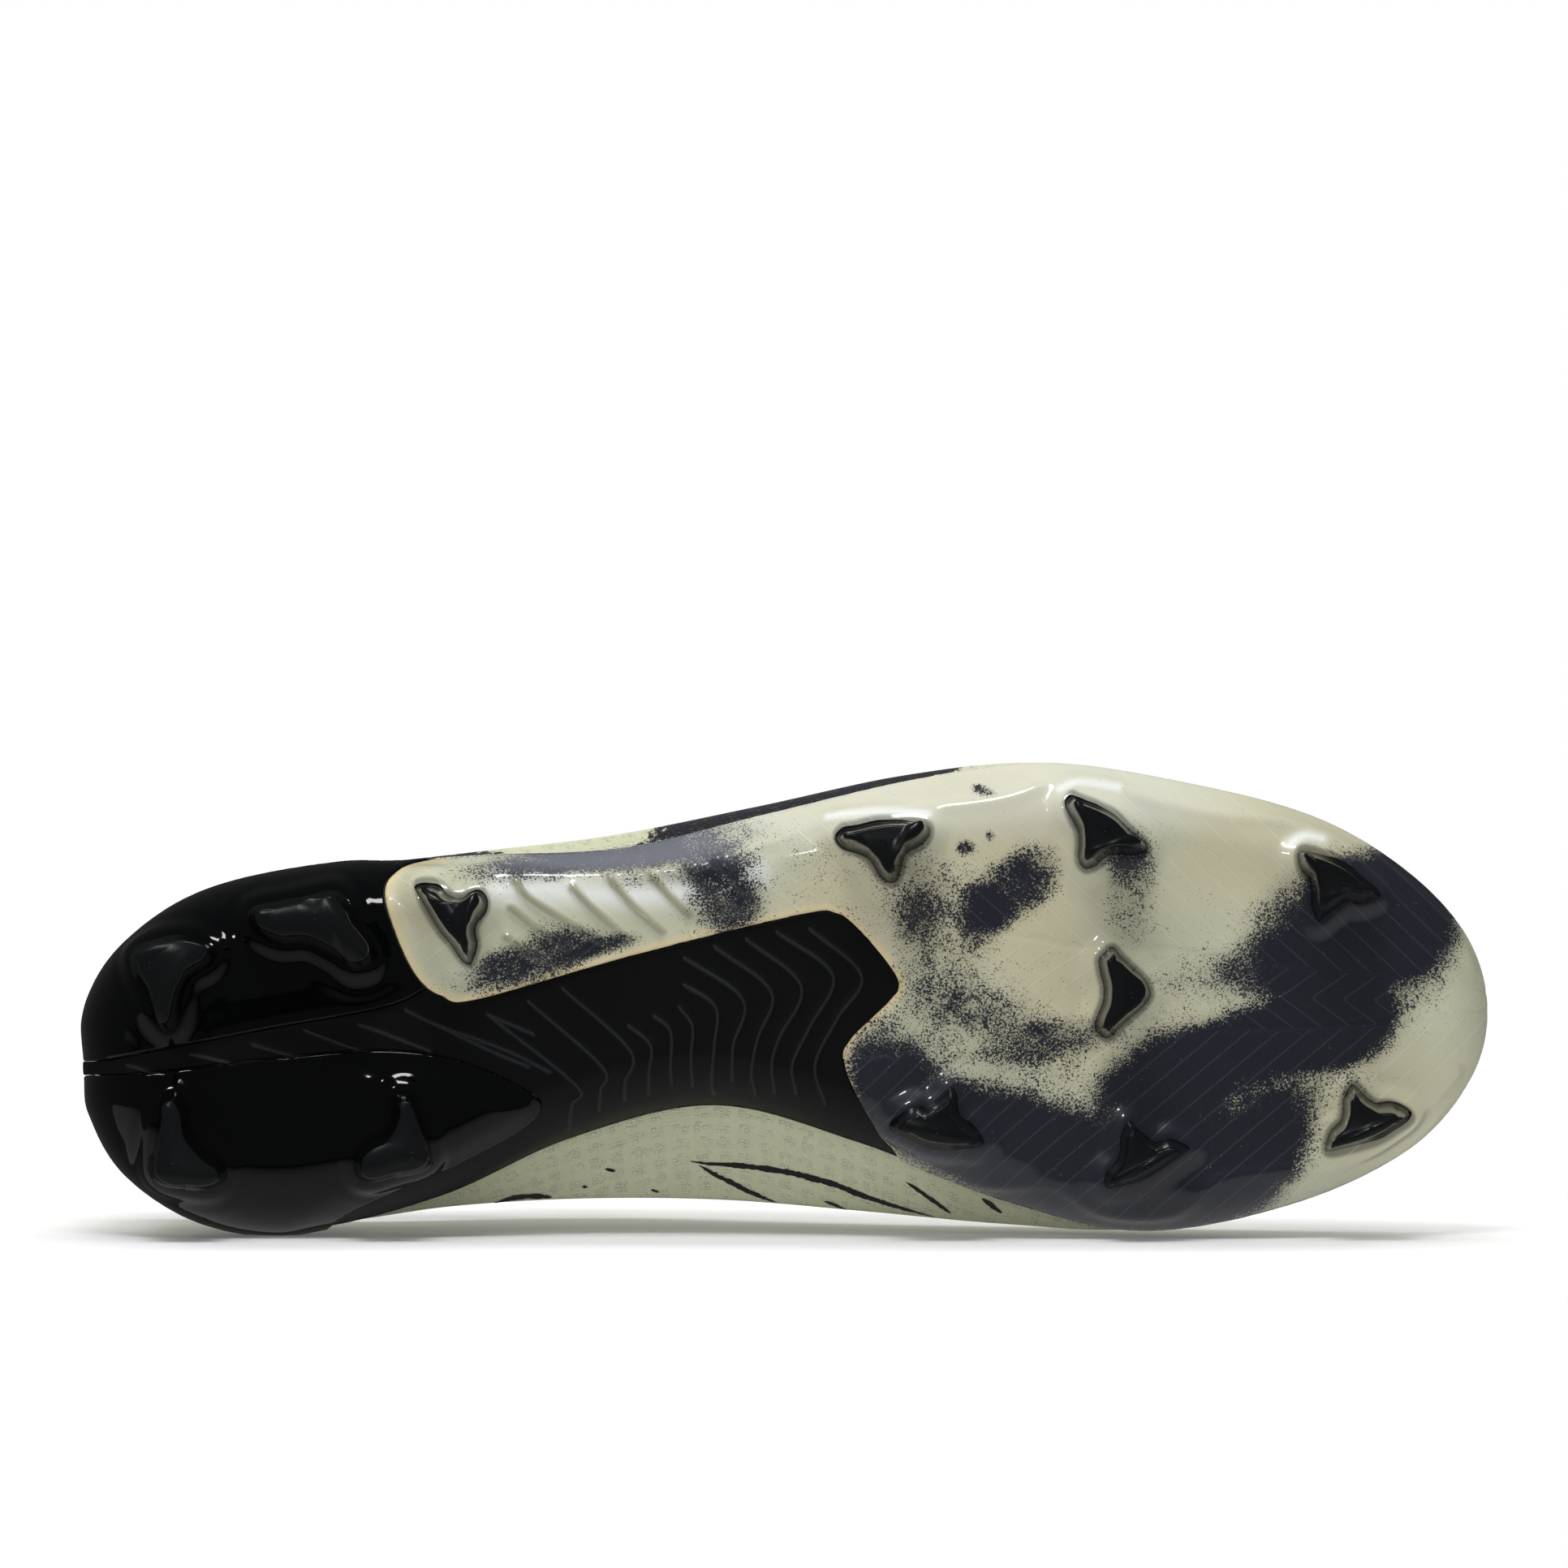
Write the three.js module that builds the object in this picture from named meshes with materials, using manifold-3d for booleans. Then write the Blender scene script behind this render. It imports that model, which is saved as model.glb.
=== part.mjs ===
// A right-foot soccer cleat for firm ground, built as its bench parts.
// The chart frame has x from the heel (0) to the toe (LENGTH), y towards the medial side and z up
// from the ground. The finished group is moved so that its origin is the middle of its footprint.
import * as THREE from "three";
import { mergeVertices } from "three/addons/utils/BufferGeometryUtils.js";
import Module from "manifold-3d";

const wasm = await Module();
wasm.setup();

// ---- Driving dimensions, in millimetres ----
const LENGTH = 283; // heel to toe over the outsole
const GAP = 0.3; // clearance kept between bonded or stitched neighbours
const PLATE = 2.2; // wall of the moulded outsole pieces
const SHANK_RECESS = 0.8; // the arch bridge sits this much deeper than the plates around it
const UPPER = 1.4; // wall of the knitted upper
const UPPER_LEVEL = PLATE + SHANK_RECESS + GAP; // the upper starts this deep under the sole's face
const MARGIN = 8; // the upper's lower edge ends this far in from the outsole's edge
const FILM_LEVEL = 2.5; // printed film, above the sole's face
const FILM = 0.3;
const BOARD_LEVEL = 4.8; // lasting board
const BOARD = 1.2;
const FOAM_LEVEL = 6.3; // removable insole
const FOAM = 3.2;
const COVER_LEVEL = 9.8; // textile on the insole
const COVER = 0.7;
const INSET = { board: 11.8, insole: 10 };
const STEPS = 2; // samples for each stretch between two points of an outline

// ---- Curves ----
const lerp = (a, b, t) => a + (b - a) * t;
const clamp = (v, low, high) => Math.min(high, Math.max(low, v));

// A smooth closed curve through points of any dimension; u counts the points.
function loopThrough(points) {
  const n = points.length;
  return (u) => {
    const i = Math.floor(u);
    const t = u - i;
    const [a, b, c, d] = [-1, 0, 1, 2].map((k) => points[(((i + k) % n) + n) % n]);
    return b.map((p, k) => {
      const m0 = (c[k] - a[k]) / 2;
      const m1 = (d[k] - b[k]) / 2;
      return hermite(p, c[k], m0, m1, t);
    });
  };
}

function hermite(p0, p1, m0, m1, t) {
  const t2 = t * t;
  const t3 = t2 * t;
  return (2 * t3 - 3 * t2 + 1) * p0 + (t3 - 2 * t2 + t) * m0 + (3 * t2 - 2 * t3) * p1 + (t3 - t2) * m1;
}

// A smooth function through [x, value] pairs, level beyond both ends.
function tableThrough(pairs) {
  const slope = (i) => {
    const [a, b] = [pairs[Math.max(0, i - 1)], pairs[Math.min(pairs.length - 1, i + 1)]];
    return (b[1] - a[1]) / (b[0] - a[0]);
  };
  return (x) => {
    const last = pairs.length - 1;
    if (x <= pairs[0][0]) return pairs[0][1];
    if (x >= pairs[last][0]) return pairs[last][1];
    const i = pairs.findIndex((p, k) => x < pairs[k + 1][0]);
    const span = pairs[i + 1][0] - pairs[i][0];
    const t = (x - pairs[i][0]) / span;
    return hermite(pairs[i][1], pairs[i + 1][1], slope(i) * span, slope(i + 1) * span, t);
  };
}

// ---- The last: three matched closed curves, from the heel round the lateral side to the toe ----
// [outsole x, outsole y], [widest x, y, z], [rim of the foot opening x, y, z]
const STATIONS = [
  [[0, 0], [1.4, 0, 45], [9, 0, 88]],
  [[2.2, -12], [3.4, -11.7, 45], [11, -9, 87]],
  [[10, -22.6], [10.8, -21.9, 45], [19, -18, 83]],
  [[25, -31.8], [25.2, -30.9, 44], [33, -25, 75.5]],
  [[47, -36.3], [47, -35.6, 42], [52, -28, 71]],
  [[80, -38], [79, -38.4, 38], [76, -27, 77]],
  [[110, -38.4], [108, -40.8, 36], [95, -21, 89]],
  [[140, -44.2], [138, -45.6, 32.5], [108, -14.5, 92]],
  [[170, -50], [168, -50.8, 28], [124, -12.5, 83.5]],
  [[196, -52.3], [195, -52.2, 26], [140, -11.5, 75.5]],
  [[225, -47], [223, -46.9, 25.5], [154, -10, 69]],
  [[250, -39.2], [248, -38.9, 26.5], [164, -8.5, 65]],
  [[268, -27.6], [266.3, -27, 28], [170.5, -6.5, 62.7]],
  [[279.5, -14], [277.8, -13.6, 29.5], [174, -3.8, 61.6]],
  [[283, 0.5], [281.6, 0.5, 30], [175, -1, 61.3]],
  [[279, 14.5], [277.4, 14, 29.5], [174, 2, 61.7]],
  [[266, 28], [264.4, 27.2, 28], [170.5, 5, 63]],
  [[242, 38], [240.6, 37.6, 26.5], [163, 7.5, 66]],
  [[212, 42.2], [211, 42, 26.5], [152, 9.5, 70.5]],
  [[185, 35.4], [184, 40.2, 30], [138, 11, 77.3]],
  [[155, 23], [155, 36.8, 36], [122, 12.5, 86]],
  [[127, 15], [127, 33.8, 41], [107, 14.5, 94]],
  [[98, 20.6], [99, 32.6, 42], [93, 20.5, 91]],
  [[72, 31], [73, 33.2, 42], [74, 26.5, 79]],
  [[45, 36.7], [46, 35.6, 43], [50, 27.5, 73]],
  [[24, 33.8], [24.6, 32.9, 45], [31, 24.5, 77.5]],
  [[8.5, 23.6], [9.4, 22.9, 45], [18, 17.5, 84]],
  [[1.5, 11], [2.9, 10.7, 45], [11, 9, 87]],
];
const TURN = STATIONS.length;
const TOE = TURN / 2;
const edgeAt = loopThrough(STATIONS.map((s) => s[0]));
const widestAt = loopThrough(STATIONS.map((s) => s[1]));
const rimAt = loopThrough(STATIONS.map((s) => s[2]));

// Height of the sole's face over the ground along the shoe, and its rolled edge on each side.
const ROCKER = tableThrough([
  [0, 16], [15, 13.4], [40, 13], [70, 14.5], [105, 18], [135, 15], [163, 11.8], [190, 11.5], [215, 11.8],
  [240, 13.2], [262, 16], [LENGTH, 20],
]);
const ROLL_LIFT = {
  lateral: tableThrough([[0, 20], [55, 19], [80, 12], [110, 10], [150, 9], [240, 8.5], [LENGTH, 7]]),
  medial: tableThrough([[0, 20], [50, 20], [80, 18], [125, 15], [165, 10], [200, 9], [240, 8.5], [LENGTH, 7]]),
};
const ROLL_WIDTH = {
  lateral: tableThrough([[0, 14], [55, 12], [80, 9], [115, 8], [150, 12], [200, 12], [240, 11], [LENGTH, 9]]),
  medial: tableThrough([[0, 14], [50, 15], [80, 14], [125, 13], [160, 11], [200, 9], [LENGTH, 9]]),
};
const ROUNDNESS = tableThrough([[0, 1], [60, 0.9], [110, 0.45], [150, 0.15], [LENGTH, 0.15]]);
const CENTRE_LINE = tableThrough([[28, 0], [60, -1], [100, -9], [130, -13], [170, -10], [210, -5], [255, 0]]);

const sideAt = (u) => (((u % TURN) + TURN) % TURN <= TOE ? "lateral" : "medial");

function inwardAt(u) {
  const [a, b] = [edgeAt(u - 0.05), edgeAt(u + 0.05)];
  const [dx, dy] = [b[0] - a[0], b[1] - a[1]];
  const size = Math.hypot(dx, dy);
  return [-dy / size, dx / size];
}

// How far the face has rolled up at a distance in from the edge, and the slope there.
function rollAt(u, distance) {
  const x = edgeAt(u)[0];
  const [lift, width, round] = [ROLL_LIFT[sideAt(u)](x), ROLL_WIDTH[sideAt(u)](x), ROUNDNESS(x)];
  const s = clamp(1 - distance / width, 0, 0.985);
  const arc = Math.sqrt(1 - s * s);
  return {
    lift: lift * ((1 - round) * s * s + round * (1 - arc)),
    slope: (lift / width) * ((1 - round) * 2 * s + (round * s) / arc),
  };
}

// A point of the sole, sunk `depth` below its face square to the rolled edge.
function solePoint(u, distance, depth) {
  const edge = edgeAt(u);
  const inward = inwardAt(u);
  const roll = rollAt(u, distance);
  const size = Math.hypot(1, roll.slope);
  const d = distance + (depth * roll.slope) / size;
  const [x, y] = [edge[0] + inward[0] * d, edge[1] + inward[1] * d];
  return [x, y, ROCKER(x) + roll.lift + depth / size];
}

function centrePoint(u) {
  const x = clamp(edgeAt(u)[0], 28, 255);
  return [x, CENTRE_LINE(x)];
}

// ---- The upper's surface: v 0 to 1 inside the plate, 1 to 2 out to the widest line, 2 to 3 to the rim ----
const RIM_LEAN = loopThrough(
  [0, 0, 0, 0, 0, 0.15, 0.7, 1, 1, 1, 1, 1, 1, 1, 1, 1, 1, 1, 1, 1, 1, 1, 0.7, 0.15, 0, 0, 0, 0].map((k) => [k]),
);
const WALL_START = 0.3;

function upperPoint(u, v) {
  if (v <= 1) return solePoint(u, lerp(MARGIN, WALL_START, v), UPPER_LEVEL);
  const widest = widestAt(u);
  if (v <= 2) {
    const start = solePoint(u, WALL_START, UPPER_LEVEL);
    const before = solePoint(u, 1.8, UPPER_LEVEL);
    const along = start.map((p, k) => p - before[k]);
    const size = Math.hypot(...along);
    const reach = widest[2] - start[2];
    const up = [0, 0, reach];
    return start.map((p, k) => hermite(p, widest[k], (along[k] / size) * reach, up[k], v - 1));
  }
  const rim = rimAt(u);
  const t = v - 2;
  const lean = RIM_LEAN(u)[0];
  const height = rim[2] - widest[2];
  const first = [widest[0], widest[1], widest[2] + lerp(0.4, 0.6, lean) * height];
  const share = lerp(0.3, 0.52, lean);
  const second = [
    lerp(rim[0], widest[0], share),
    lerp(rim[1], widest[1], share),
    rim[2] - lerp(0.33, 0.07, lean) * height,
  ];
  const w = [(1 - t) ** 3, 3 * t * (1 - t) ** 2, 3 * t * t * (1 - t), t ** 3];
  return widest.map((p, k) => w[0] * p + w[1] * first[k] + w[2] * second[k] + w[3] * rim[k]);
}

// The same surface moved `depth` into the shoe along its normal (negative is outwards).
function upperInset(u, v, depth) {
  const at = (du, dv) => new THREE.Vector3(...upperPoint(u + du, clamp(v + dv, 0, 3)));
  const across = at(0.04, 0).sub(at(-0.04, 0));
  const along = at(0, 0.02).sub(at(0, -0.02));
  const inward = along.cross(across).normalize();
  return at(0, 0).addScaledVector(inward, depth).toArray();
}

// ---- Solids from grids of points ----
function geometryFrom(points, faces) {
  const made = new THREE.BufferGeometry();
  made.setAttribute("position", new THREE.Float32BufferAttribute(points.flat(), 3));
  made.setIndex(faces.flat());
  return made;
}

// A closed wall between two grids of rows of points: rows go round with the outline, columns go up.
function wallBetween(outer, inner, closed) {
  const rows = outer.length;
  const columns = outer[0].length;
  const id = (side, i, j) => side * rows * columns + (i % rows) * columns + j;
  const faces = [];
  const quad = (a, b, c, d) => faces.push([a, c, b], [a, d, c]);
  const spans = closed ? rows : rows - 1;
  const last = columns - 1;
  for (let i = 0; i < spans; i += 1) {
    for (let j = 0; j < last; j += 1) {
      quad(id(0, i, j), id(0, i, j + 1), id(0, i + 1, j + 1), id(0, i + 1, j));
      quad(id(1, i, j), id(1, i + 1, j), id(1, i + 1, j + 1), id(1, i, j + 1));
    }
    quad(id(0, i, 0), id(0, i + 1, 0), id(1, i + 1, 0), id(1, i, 0));
    quad(id(0, i, last), id(1, i, last), id(1, i + 1, last), id(0, i + 1, last));
  }
  for (let j = 0; j < last && !closed; j += 1) {
    const end = rows - 1;
    quad(id(0, 0, j), id(1, 0, j), id(1, 0, j + 1), id(0, 0, j + 1));
    quad(id(0, end, j), id(0, end, j + 1), id(1, end, j + 1), id(1, end, j));
  }
  return geometryFrom([...outer.flat(), ...inner.flat()], faces);
}

// Two stacked sheets joined at their edge. Rows run inwards from the outline and meet in pairs
// over the middle of the shoe.
function sheetPair(lower, upper) {
  const rows = lower.length;
  const columns = lower[0].length;
  const last = columns - 1;
  const id = (side, i, j) => side * rows * columns + (i % rows) * columns + j;
  const faces = [];
  const quad = (a, b, c, d) => {
    if (a !== b) faces.push([a, b, c]);
    if (c !== d && a !== d) faces.push([a, c, d]);
  };
  for (let i = 0; i < rows; i += 1) {
    for (let j = 0; j < last; j += 1) {
      quad(id(0, i, j), id(0, i, j + 1), id(0, i + 1, j + 1), id(0, i + 1, j));
      quad(id(1, i, j), id(1, i + 1, j), id(1, i + 1, j + 1), id(1, i, j + 1));
    }
    quad(id(0, i, 0), id(0, i + 1, 0), id(1, i + 1, 0), id(1, i, 0));
  }
  for (let i = 0; i < rows / 2; i += 1) {
    const [a, b, c, d] = [i, i + 1, rows - i - 1, rows - i];
    quad(id(0, a, last), id(0, d, last), id(0, c, last), id(0, b, last));
    quad(id(1, a, last), id(1, b, last), id(1, c, last), id(1, d, last));
  }
  return geometryFrom([...lower.flat(), ...upper.flat()], faces);
}

const toSolid = (geometry) => {
  const bare = new THREE.BufferGeometry();
  bare.setAttribute("position", geometry.getAttribute("position"));
  bare.setIndex(geometry.index);
  const merged = mergeVertices(bare, 1e-3);
  const solid = new wasm.Manifold(
    new wasm.Mesh({
      numProp: 3,
      vertProperties: merged.attributes.position.array,
      triVerts: new Uint32Array(merged.index.array),
    }),
  );
  return solid;
};

function toGeometry(solid) {
  const mesh = solid.getMesh();
  const made = new THREE.BufferGeometry();
  made.setAttribute("position", new THREE.BufferAttribute(mesh.vertProperties, 3));
  made.setIndex(new THREE.BufferAttribute(mesh.triVerts, 1));
  return made;
}

// A prism through the whole shoe over a closed outline in plan.
function columnOver(outline, grow = 0) {
  const clockwise = THREE.ShapeUtils.isClockWise(outline.map((p) => new THREE.Vector2(...p)));
  const side = clockwise ? -1 : 1;
  const n = outline.length;
  const moved = outline.map((p, i) => {
    const [a, b] = [outline[(i + n - 1) % n], outline[(i + 1) % n]];
    const [dx, dy] = [b[0] - a[0], b[1] - a[1]];
    const size = Math.hypot(dx, dy);
    return new THREE.Vector2(p[0] + (side * grow * dy) / size, p[1] - (side * grow * dx) / size);
  });
  const geometry = new THREE.ExtrudeGeometry(new THREE.Shape(moved), { depth: 200, bevelEnabled: false });
  geometry.translate(0, 0, -50);
  const flat = mergeVertices(geometry.deleteAttribute("normal").deleteAttribute("uv"), 1e-3);
  return toSolid(flat);
}

// ---- Materials ----
const paint = (color, roughness, metalness = 0) => new THREE.MeshStandardMaterial({ color, roughness, metalness });
const looks = {
  clear: paint(0xd6d5b4, 0.12),
  film: paint(0x3a3b44, 0.6),
  gloss: paint(0x08090b, 0.1),
  matte: paint(0x14171b, 0.5),
  stud: paint(0x1b1d1b, 0.25),
  knit: paint(0xc9cbae, 0.85),
  stay: paint(0x26262c, 0.55),
  board: paint(0xd8d2c0, 0.9),
  foam: paint(0x2a2d33, 0.9),
  cover: paint(0x1d1f24, 0.95),
  lining: paint(0x1c1d21, 0.95),
  stiffener: paint(0xb9b4a6, 0.7),
  lace: paint(0xc9cbae, 0.85),
  tip: paint(0x111214, 0.25),
  web: paint(0x17181b, 0.9),
};
const boot = new THREE.Group();

function add(name, look, geometry) {
  const mesh = new THREE.Mesh(geometry, looks[look]);
  mesh.name = name;
  boot.add(mesh);
  return mesh;
}

// ---- Outsole ----
const RINGS = [0, 1.2, 2.8, 5, 8, 12];
const MIDDLE_SHARES = [0.4, 0.8];

// A sheet under the sole's face between two depths, from some rings in from the edge to the middle.
function sheetUnder(rings, top, bottom, steps = STEPS) {
  const grid = (depth) =>
    Array.from({ length: TURN * steps }, (_, i) => {
      const u = i / steps;
      const row = rings.map((d) => solePoint(u, d, depth));
      const [x0, y0, z0] = row[row.length - 1];
      const [x1, y1] = centrePoint(u);
      const step = z0 - ROCKER(x0) - depth;
      for (const share of MIDDLE_SHARES) {
        const x = lerp(x0, x1, share);
        row.push([x, lerp(y0, y1, share), ROCKER(x) + depth + step * (1 - share)]);
      }
      return row;
    });
  return sheetPair(grid(top), grid(bottom));
}
const soleShell = (top, bottom) => toSolid(sheetUnder(RINGS, top, bottom));

// Outlines in plan where the moulded pieces meet. Points outside the outsole only close the shape.
const smooth = (points, perPoint) => {
  const at = loopThrough(points);
  return Array.from({ length: points.length * perPoint }, (_, i) => at(i / perPoint));
};
const LATERAL_POD = [
  [-8, -4], [-4, 0.8], [16.7, -1.6], [40, -5.2], [60, -8], [69, -11], [74, -16], [74, -28], [80, -40],
  [74, -50], [30, -50], [-8, -30],
];
const MEDIAL_POD = [
  [-8, 12], [-4, 4.4], [16.5, 2.8], [42, 0.8], [62, 0.2], [76, 2.7], [88, 8.3], [92.6, 12.6], [88, 17.8],
  [72, 25.4], [54, 32.6], [42, 42], [30, 50], [-4, 34],
];
const FOREFOOT = [
  [76, -39.5], [67.4, -36.6], [63, -32.4], [65, -22.6], [69, -14], [73.6, -10.2], [80.6, -9.2], [112, -16.8],
  [144.7, -23.6], [152.6, -23.8], [158, -19.4], [164.6, -10], [162.4, -5.8], [154.4, 1.6], [153.2, 6.4],
  [157.4, 16.8], [164.4, 28], [170, 44], [205, 62], [250, 56], [300, 30], [300, -30], [250, -64], [200, -70],
  [130, -60], [90, -52],
];
const HALF_GAP = GAP / 2;
const face = soleShell(0, PLATE);
const recessed = soleShell(SHANK_RECESS, PLATE + SHANK_RECESS);
const regions = {
  lateral: smooth(LATERAL_POD, 3),
  medial: smooth(MEDIAL_POD, 3),
  forefoot: smooth(FOREFOOT, 3),
};
const cut = (solid, outline) => solid.intersect(columnOver(outline, -HALF_GAP));
const lateralPod = cut(face, regions.lateral).subtract(columnOver(regions.forefoot, HALF_GAP));
add("heel_pod_lateral", "gloss", toGeometry(lateralPod));
add("heel_pod_medial", "gloss", toGeometry(cut(face, regions.medial)));
add("forefoot_plate", "clear", toGeometry(cut(face, regions.forefoot)));
add(
  "arch_shank",
  "matte",
  toGeometry(
    Object.values(regions).reduce((left, outline) => left.subtract(columnOver(outline, HALF_GAP)), recessed),
  ),
);

// ---- Layers between the plate and the foot: sheets that follow the sole's face ----
const layer = (inset, level, thickness) => sheetUnder([inset, inset + 3], level, level + thickness, 1);
const film = toSolid(sheetUnder([4.2, 5, 8, 12], FILM_LEVEL, FILM_LEVEL + FILM));
add("print_film", "film", toGeometry(film.intersect(columnOver(regions.forefoot, -1.5))));
add("lasting_board", "board", layer(INSET.board, BOARD_LEVEL, BOARD));
add("insole_foam", "foam", layer(INSET.insole, FOAM_LEVEL, FOAM));
add("insole_cover", "cover", layer(INSET.insole, COVER_LEVEL, COVER));

// ---- Studs: three-armed blades, wide at the plate and narrow at the ground ----
// centre at the plate, the arms' ends from it, how much each side between two arms pulls in,
// and how far the foot of the stud stands from its root in plan
const BLADES = {
  stud_forefoot_lateral_rear: {
    at: [163.5, -35.8], arms: [[-9.8, -1.9], [8.9, -5], [1.5, 6.8]], pull: [-0.25, 0.32, 0.32], lean: [-0.6, 0.1],
  },
  stud_forefoot_lateral_middle: {
    at: [206.6, -37.8], arms: [[-6.2, -8.1], [9.3, 1.8], [-3.3, 6.3]], pull: [-0.22, 0.3, 0.3], lean: [0.3, -0.5],
  },
  stud_forefoot_lateral_front: {
    at: [253, -27.2], arms: [[-7.1, -7.7], [9.4, 0.9], [-2.4, 6.7]], pull: [-0.2, 0.3, 0.3], lean: [1.5, -0.1],
  },
  stud_forefoot_centre: {
    at: [209.8, -5], arms: [[-2.7, -9.3], [5.7, 0.2], [-3.2, 9.2]], pull: [-0.05, -0.05, 0.4], lean: [1, 0.2],
  },
  stud_forefoot_medial_rear: {
    at: [173, 18.7], arms: [[-10.1, 1.3], [2, -6.5], [8.3, 5.4]], pull: [0.3, 0.3, -0.18], lean: [-0.4, 0.9],
  },
  stud_forefoot_medial_middle: {
    at: [212.8, 26.2], arms: [[-2.3, -6.3], [9.6, -0.7], [-7.3, 7]], pull: [0.3, -0.15, 0.3], lean: [0.4, 0.9],
  },
  stud_forefoot_medial_front: {
    at: [257.6, 20.8], arms: [[-1.9, -6.6], [9.3, -0.6], [-7.5, 7.1]], pull: [0.3, -0.15, 0.3], lean: [1.4, 0.9],
  },
  stud_midfoot_lateral: {
    at: [76.5, -26.4], arms: [[-7.6, -5.7], [5.3, -4.1], [2.3, 9.8]], pull: [0.34, 0.3, 0], lean: [-0.4, 0.3],
  },
  stud_heel_lateral_rear: {
    at: [21, -18.6], arms: [[-5.6, -6.5], [8, -8.2], [-1.6, 9.4]], pull: [0, 0.42, 0], lean: [-1.6, -0.8],
  },
  stud_heel_lateral_front: {
    at: [49.4, -25.2], arms: [[-11, -1.4], [2.6, -7], [7.4, 7.6]], pull: [0, 0, 0.42], lean: [-0.6, -0.8],
  },
  stud_heel_medial_rear: {
    at: [21.5, 17.6], arms: [[-2.2, -9.6], [8.4, 7], [-4.8, 8.2]], pull: [0.42, 0, 0], lean: [-1.2, 1.6],
  },
  stud_heel_medial_front: {
    at: [63.4, 16.6], arms: [[1.8, -9.4], [5.4, 7.6], [-9.2, 4.8]], pull: [0, 0, 0.42], lean: [0.6, 1.4],
  },
};
const ARM_HALF_WIDTH = 1.9;
const FOOT_SCALE = 0.76;
const STUD_DROP = 13.4; // from the sole's face to the foot, where the stud doesn't reach the ground first
const BLADE_SAMPLES = 2;
const BLADE_LAYERS = [0, 0.4, 1];

function bladeOutline({ arms, pull }) {
  const points = [];
  arms.forEach((arm, i) => {
    const next = arms[(i + 1) % arms.length];
    const size = Math.hypot(...arm);
    const side = [(-arm[1] / size) * ARM_HALF_WIDTH, (arm[0] / size) * ARM_HALF_WIDTH];
    const tip = [arm[0] * (1 - 0.5 / size), arm[1] * (1 - 0.5 / size)];
    points.push([tip[0] - side[0] * 0.8, tip[1] - side[1] * 0.8], [tip[0] + side[0] * 0.8, tip[1] + side[1] * 0.8]);
    const middle = [(arm[0] + next[0]) / 2, (arm[1] + next[1]) / 2];
    points.push([middle[0] * (1 - pull[i] * 2), middle[1] * (1 - pull[i] * 2)]);
  });
  const turned = THREE.ShapeUtils.isClockWise(points.map((p) => new THREE.Vector2(...p)));
  const at = loopThrough(turned ? points.reverse() : points);
  return Array.from({ length: points.length * BLADE_SAMPLES }, (_, i) => at(i / BLADE_SAMPLES));
}

const belowFace = soleShell(-GAP, PLATE * 2);

function blade(spec) {
  const outline = bladeOutline(spec);
  const root = ROCKER(spec.at[0]) + 4;
  const foot = Math.max(0, ROCKER(spec.at[0]) - STUD_DROP);
  const points = [];
  for (const share of BLADE_LAYERS) {
    const scale = lerp(1.06, FOOT_SCALE, share ** 0.8);
    for (const [x, y] of outline) {
      points.push([
        spec.at[0] + x * scale + spec.lean[0] * share,
        spec.at[1] + y * scale + spec.lean[1] * share,
        lerp(root, foot, share),
      ]);
    }
  }
  const n = outline.length;
  const faces = [];
  for (let layerIndex = 0; layerIndex < BLADE_LAYERS.length - 1; layerIndex += 1) {
    for (let i = 0; i < n; i += 1) {
      const [a, b] = [layerIndex * n + i, layerIndex * n + ((i + 1) % n)];
      faces.push([a, a + n, b + n], [a, b + n, b]);
    }
  }
  const flat = outline.map((p) => new THREE.Vector2(...p));
  const low = (BLADE_LAYERS.length - 1) * n;
  for (const [a, b, c] of THREE.ShapeUtils.triangulateShape(flat, [])) {
    faces.push([a, b, c], [low + a, low + c, low + b]);
  }
  return toSolid(geometryFrom(points, faces)).subtract(belowFace);
}
for (const [name, spec] of Object.entries(BLADES)) {
  const lowest = blade(spec).decompose().sort((a, b) => a.boundingBox().min[2] - b.boundingBox().min[2])[0];
  add(name, "stud", toGeometry(lowest));
}

// ---- Upper ----
const ringToV = (distance) => (MARGIN - distance) / (MARGIN - WALL_START);
const UPPER_ROWS = [
  ...[MARGIN, 5, 2.8, 1.2, WALL_START].map(ringToV), 1.45, 2, 2.25, 2.5, 2.72, 2.9, 3,
];

// A wall that follows the upper from one depth to another over a patch of it.
function patch([uFrom, uTo], [vFrom, vTo], [outside, inside]) {
  const levels = [vFrom, ...UPPER_ROWS.filter((v) => v > vFrom + 0.02 && v < vTo - 0.02), vTo];
  const count = Math.round((uTo - uFrom) * STEPS);
  const grid = (depth) =>
    Array.from({ length: count + 1 }, (_, i) => levels.map((v) => upperInset(uFrom + i / STEPS, v, depth)));
  return wallBetween(grid(outside), grid(inside), false);
}

const round = (depth) =>
  Array.from({ length: TURN * STEPS }, (_, i) => UPPER_ROWS.map((v) => upperInset(i / STEPS, v, depth)));
const upperWall = toSolid(wallBetween(round(0), round(UPPER), true));

// Eyelets from the front of the throat to the back, along both of its edges.
const EYELETS = 5;
const EYELET_V = 2.9;
const EYELET_RADIUS = 2.1;
const EYESTAY = 0.9;
const THROAT = { lateral: [12, 7], medial: [TURN - 12, TURN - 7] };
const eyeletAt = (side, i) => lerp(...THROAT[side], (i + 0.5) / EYELETS);

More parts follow.
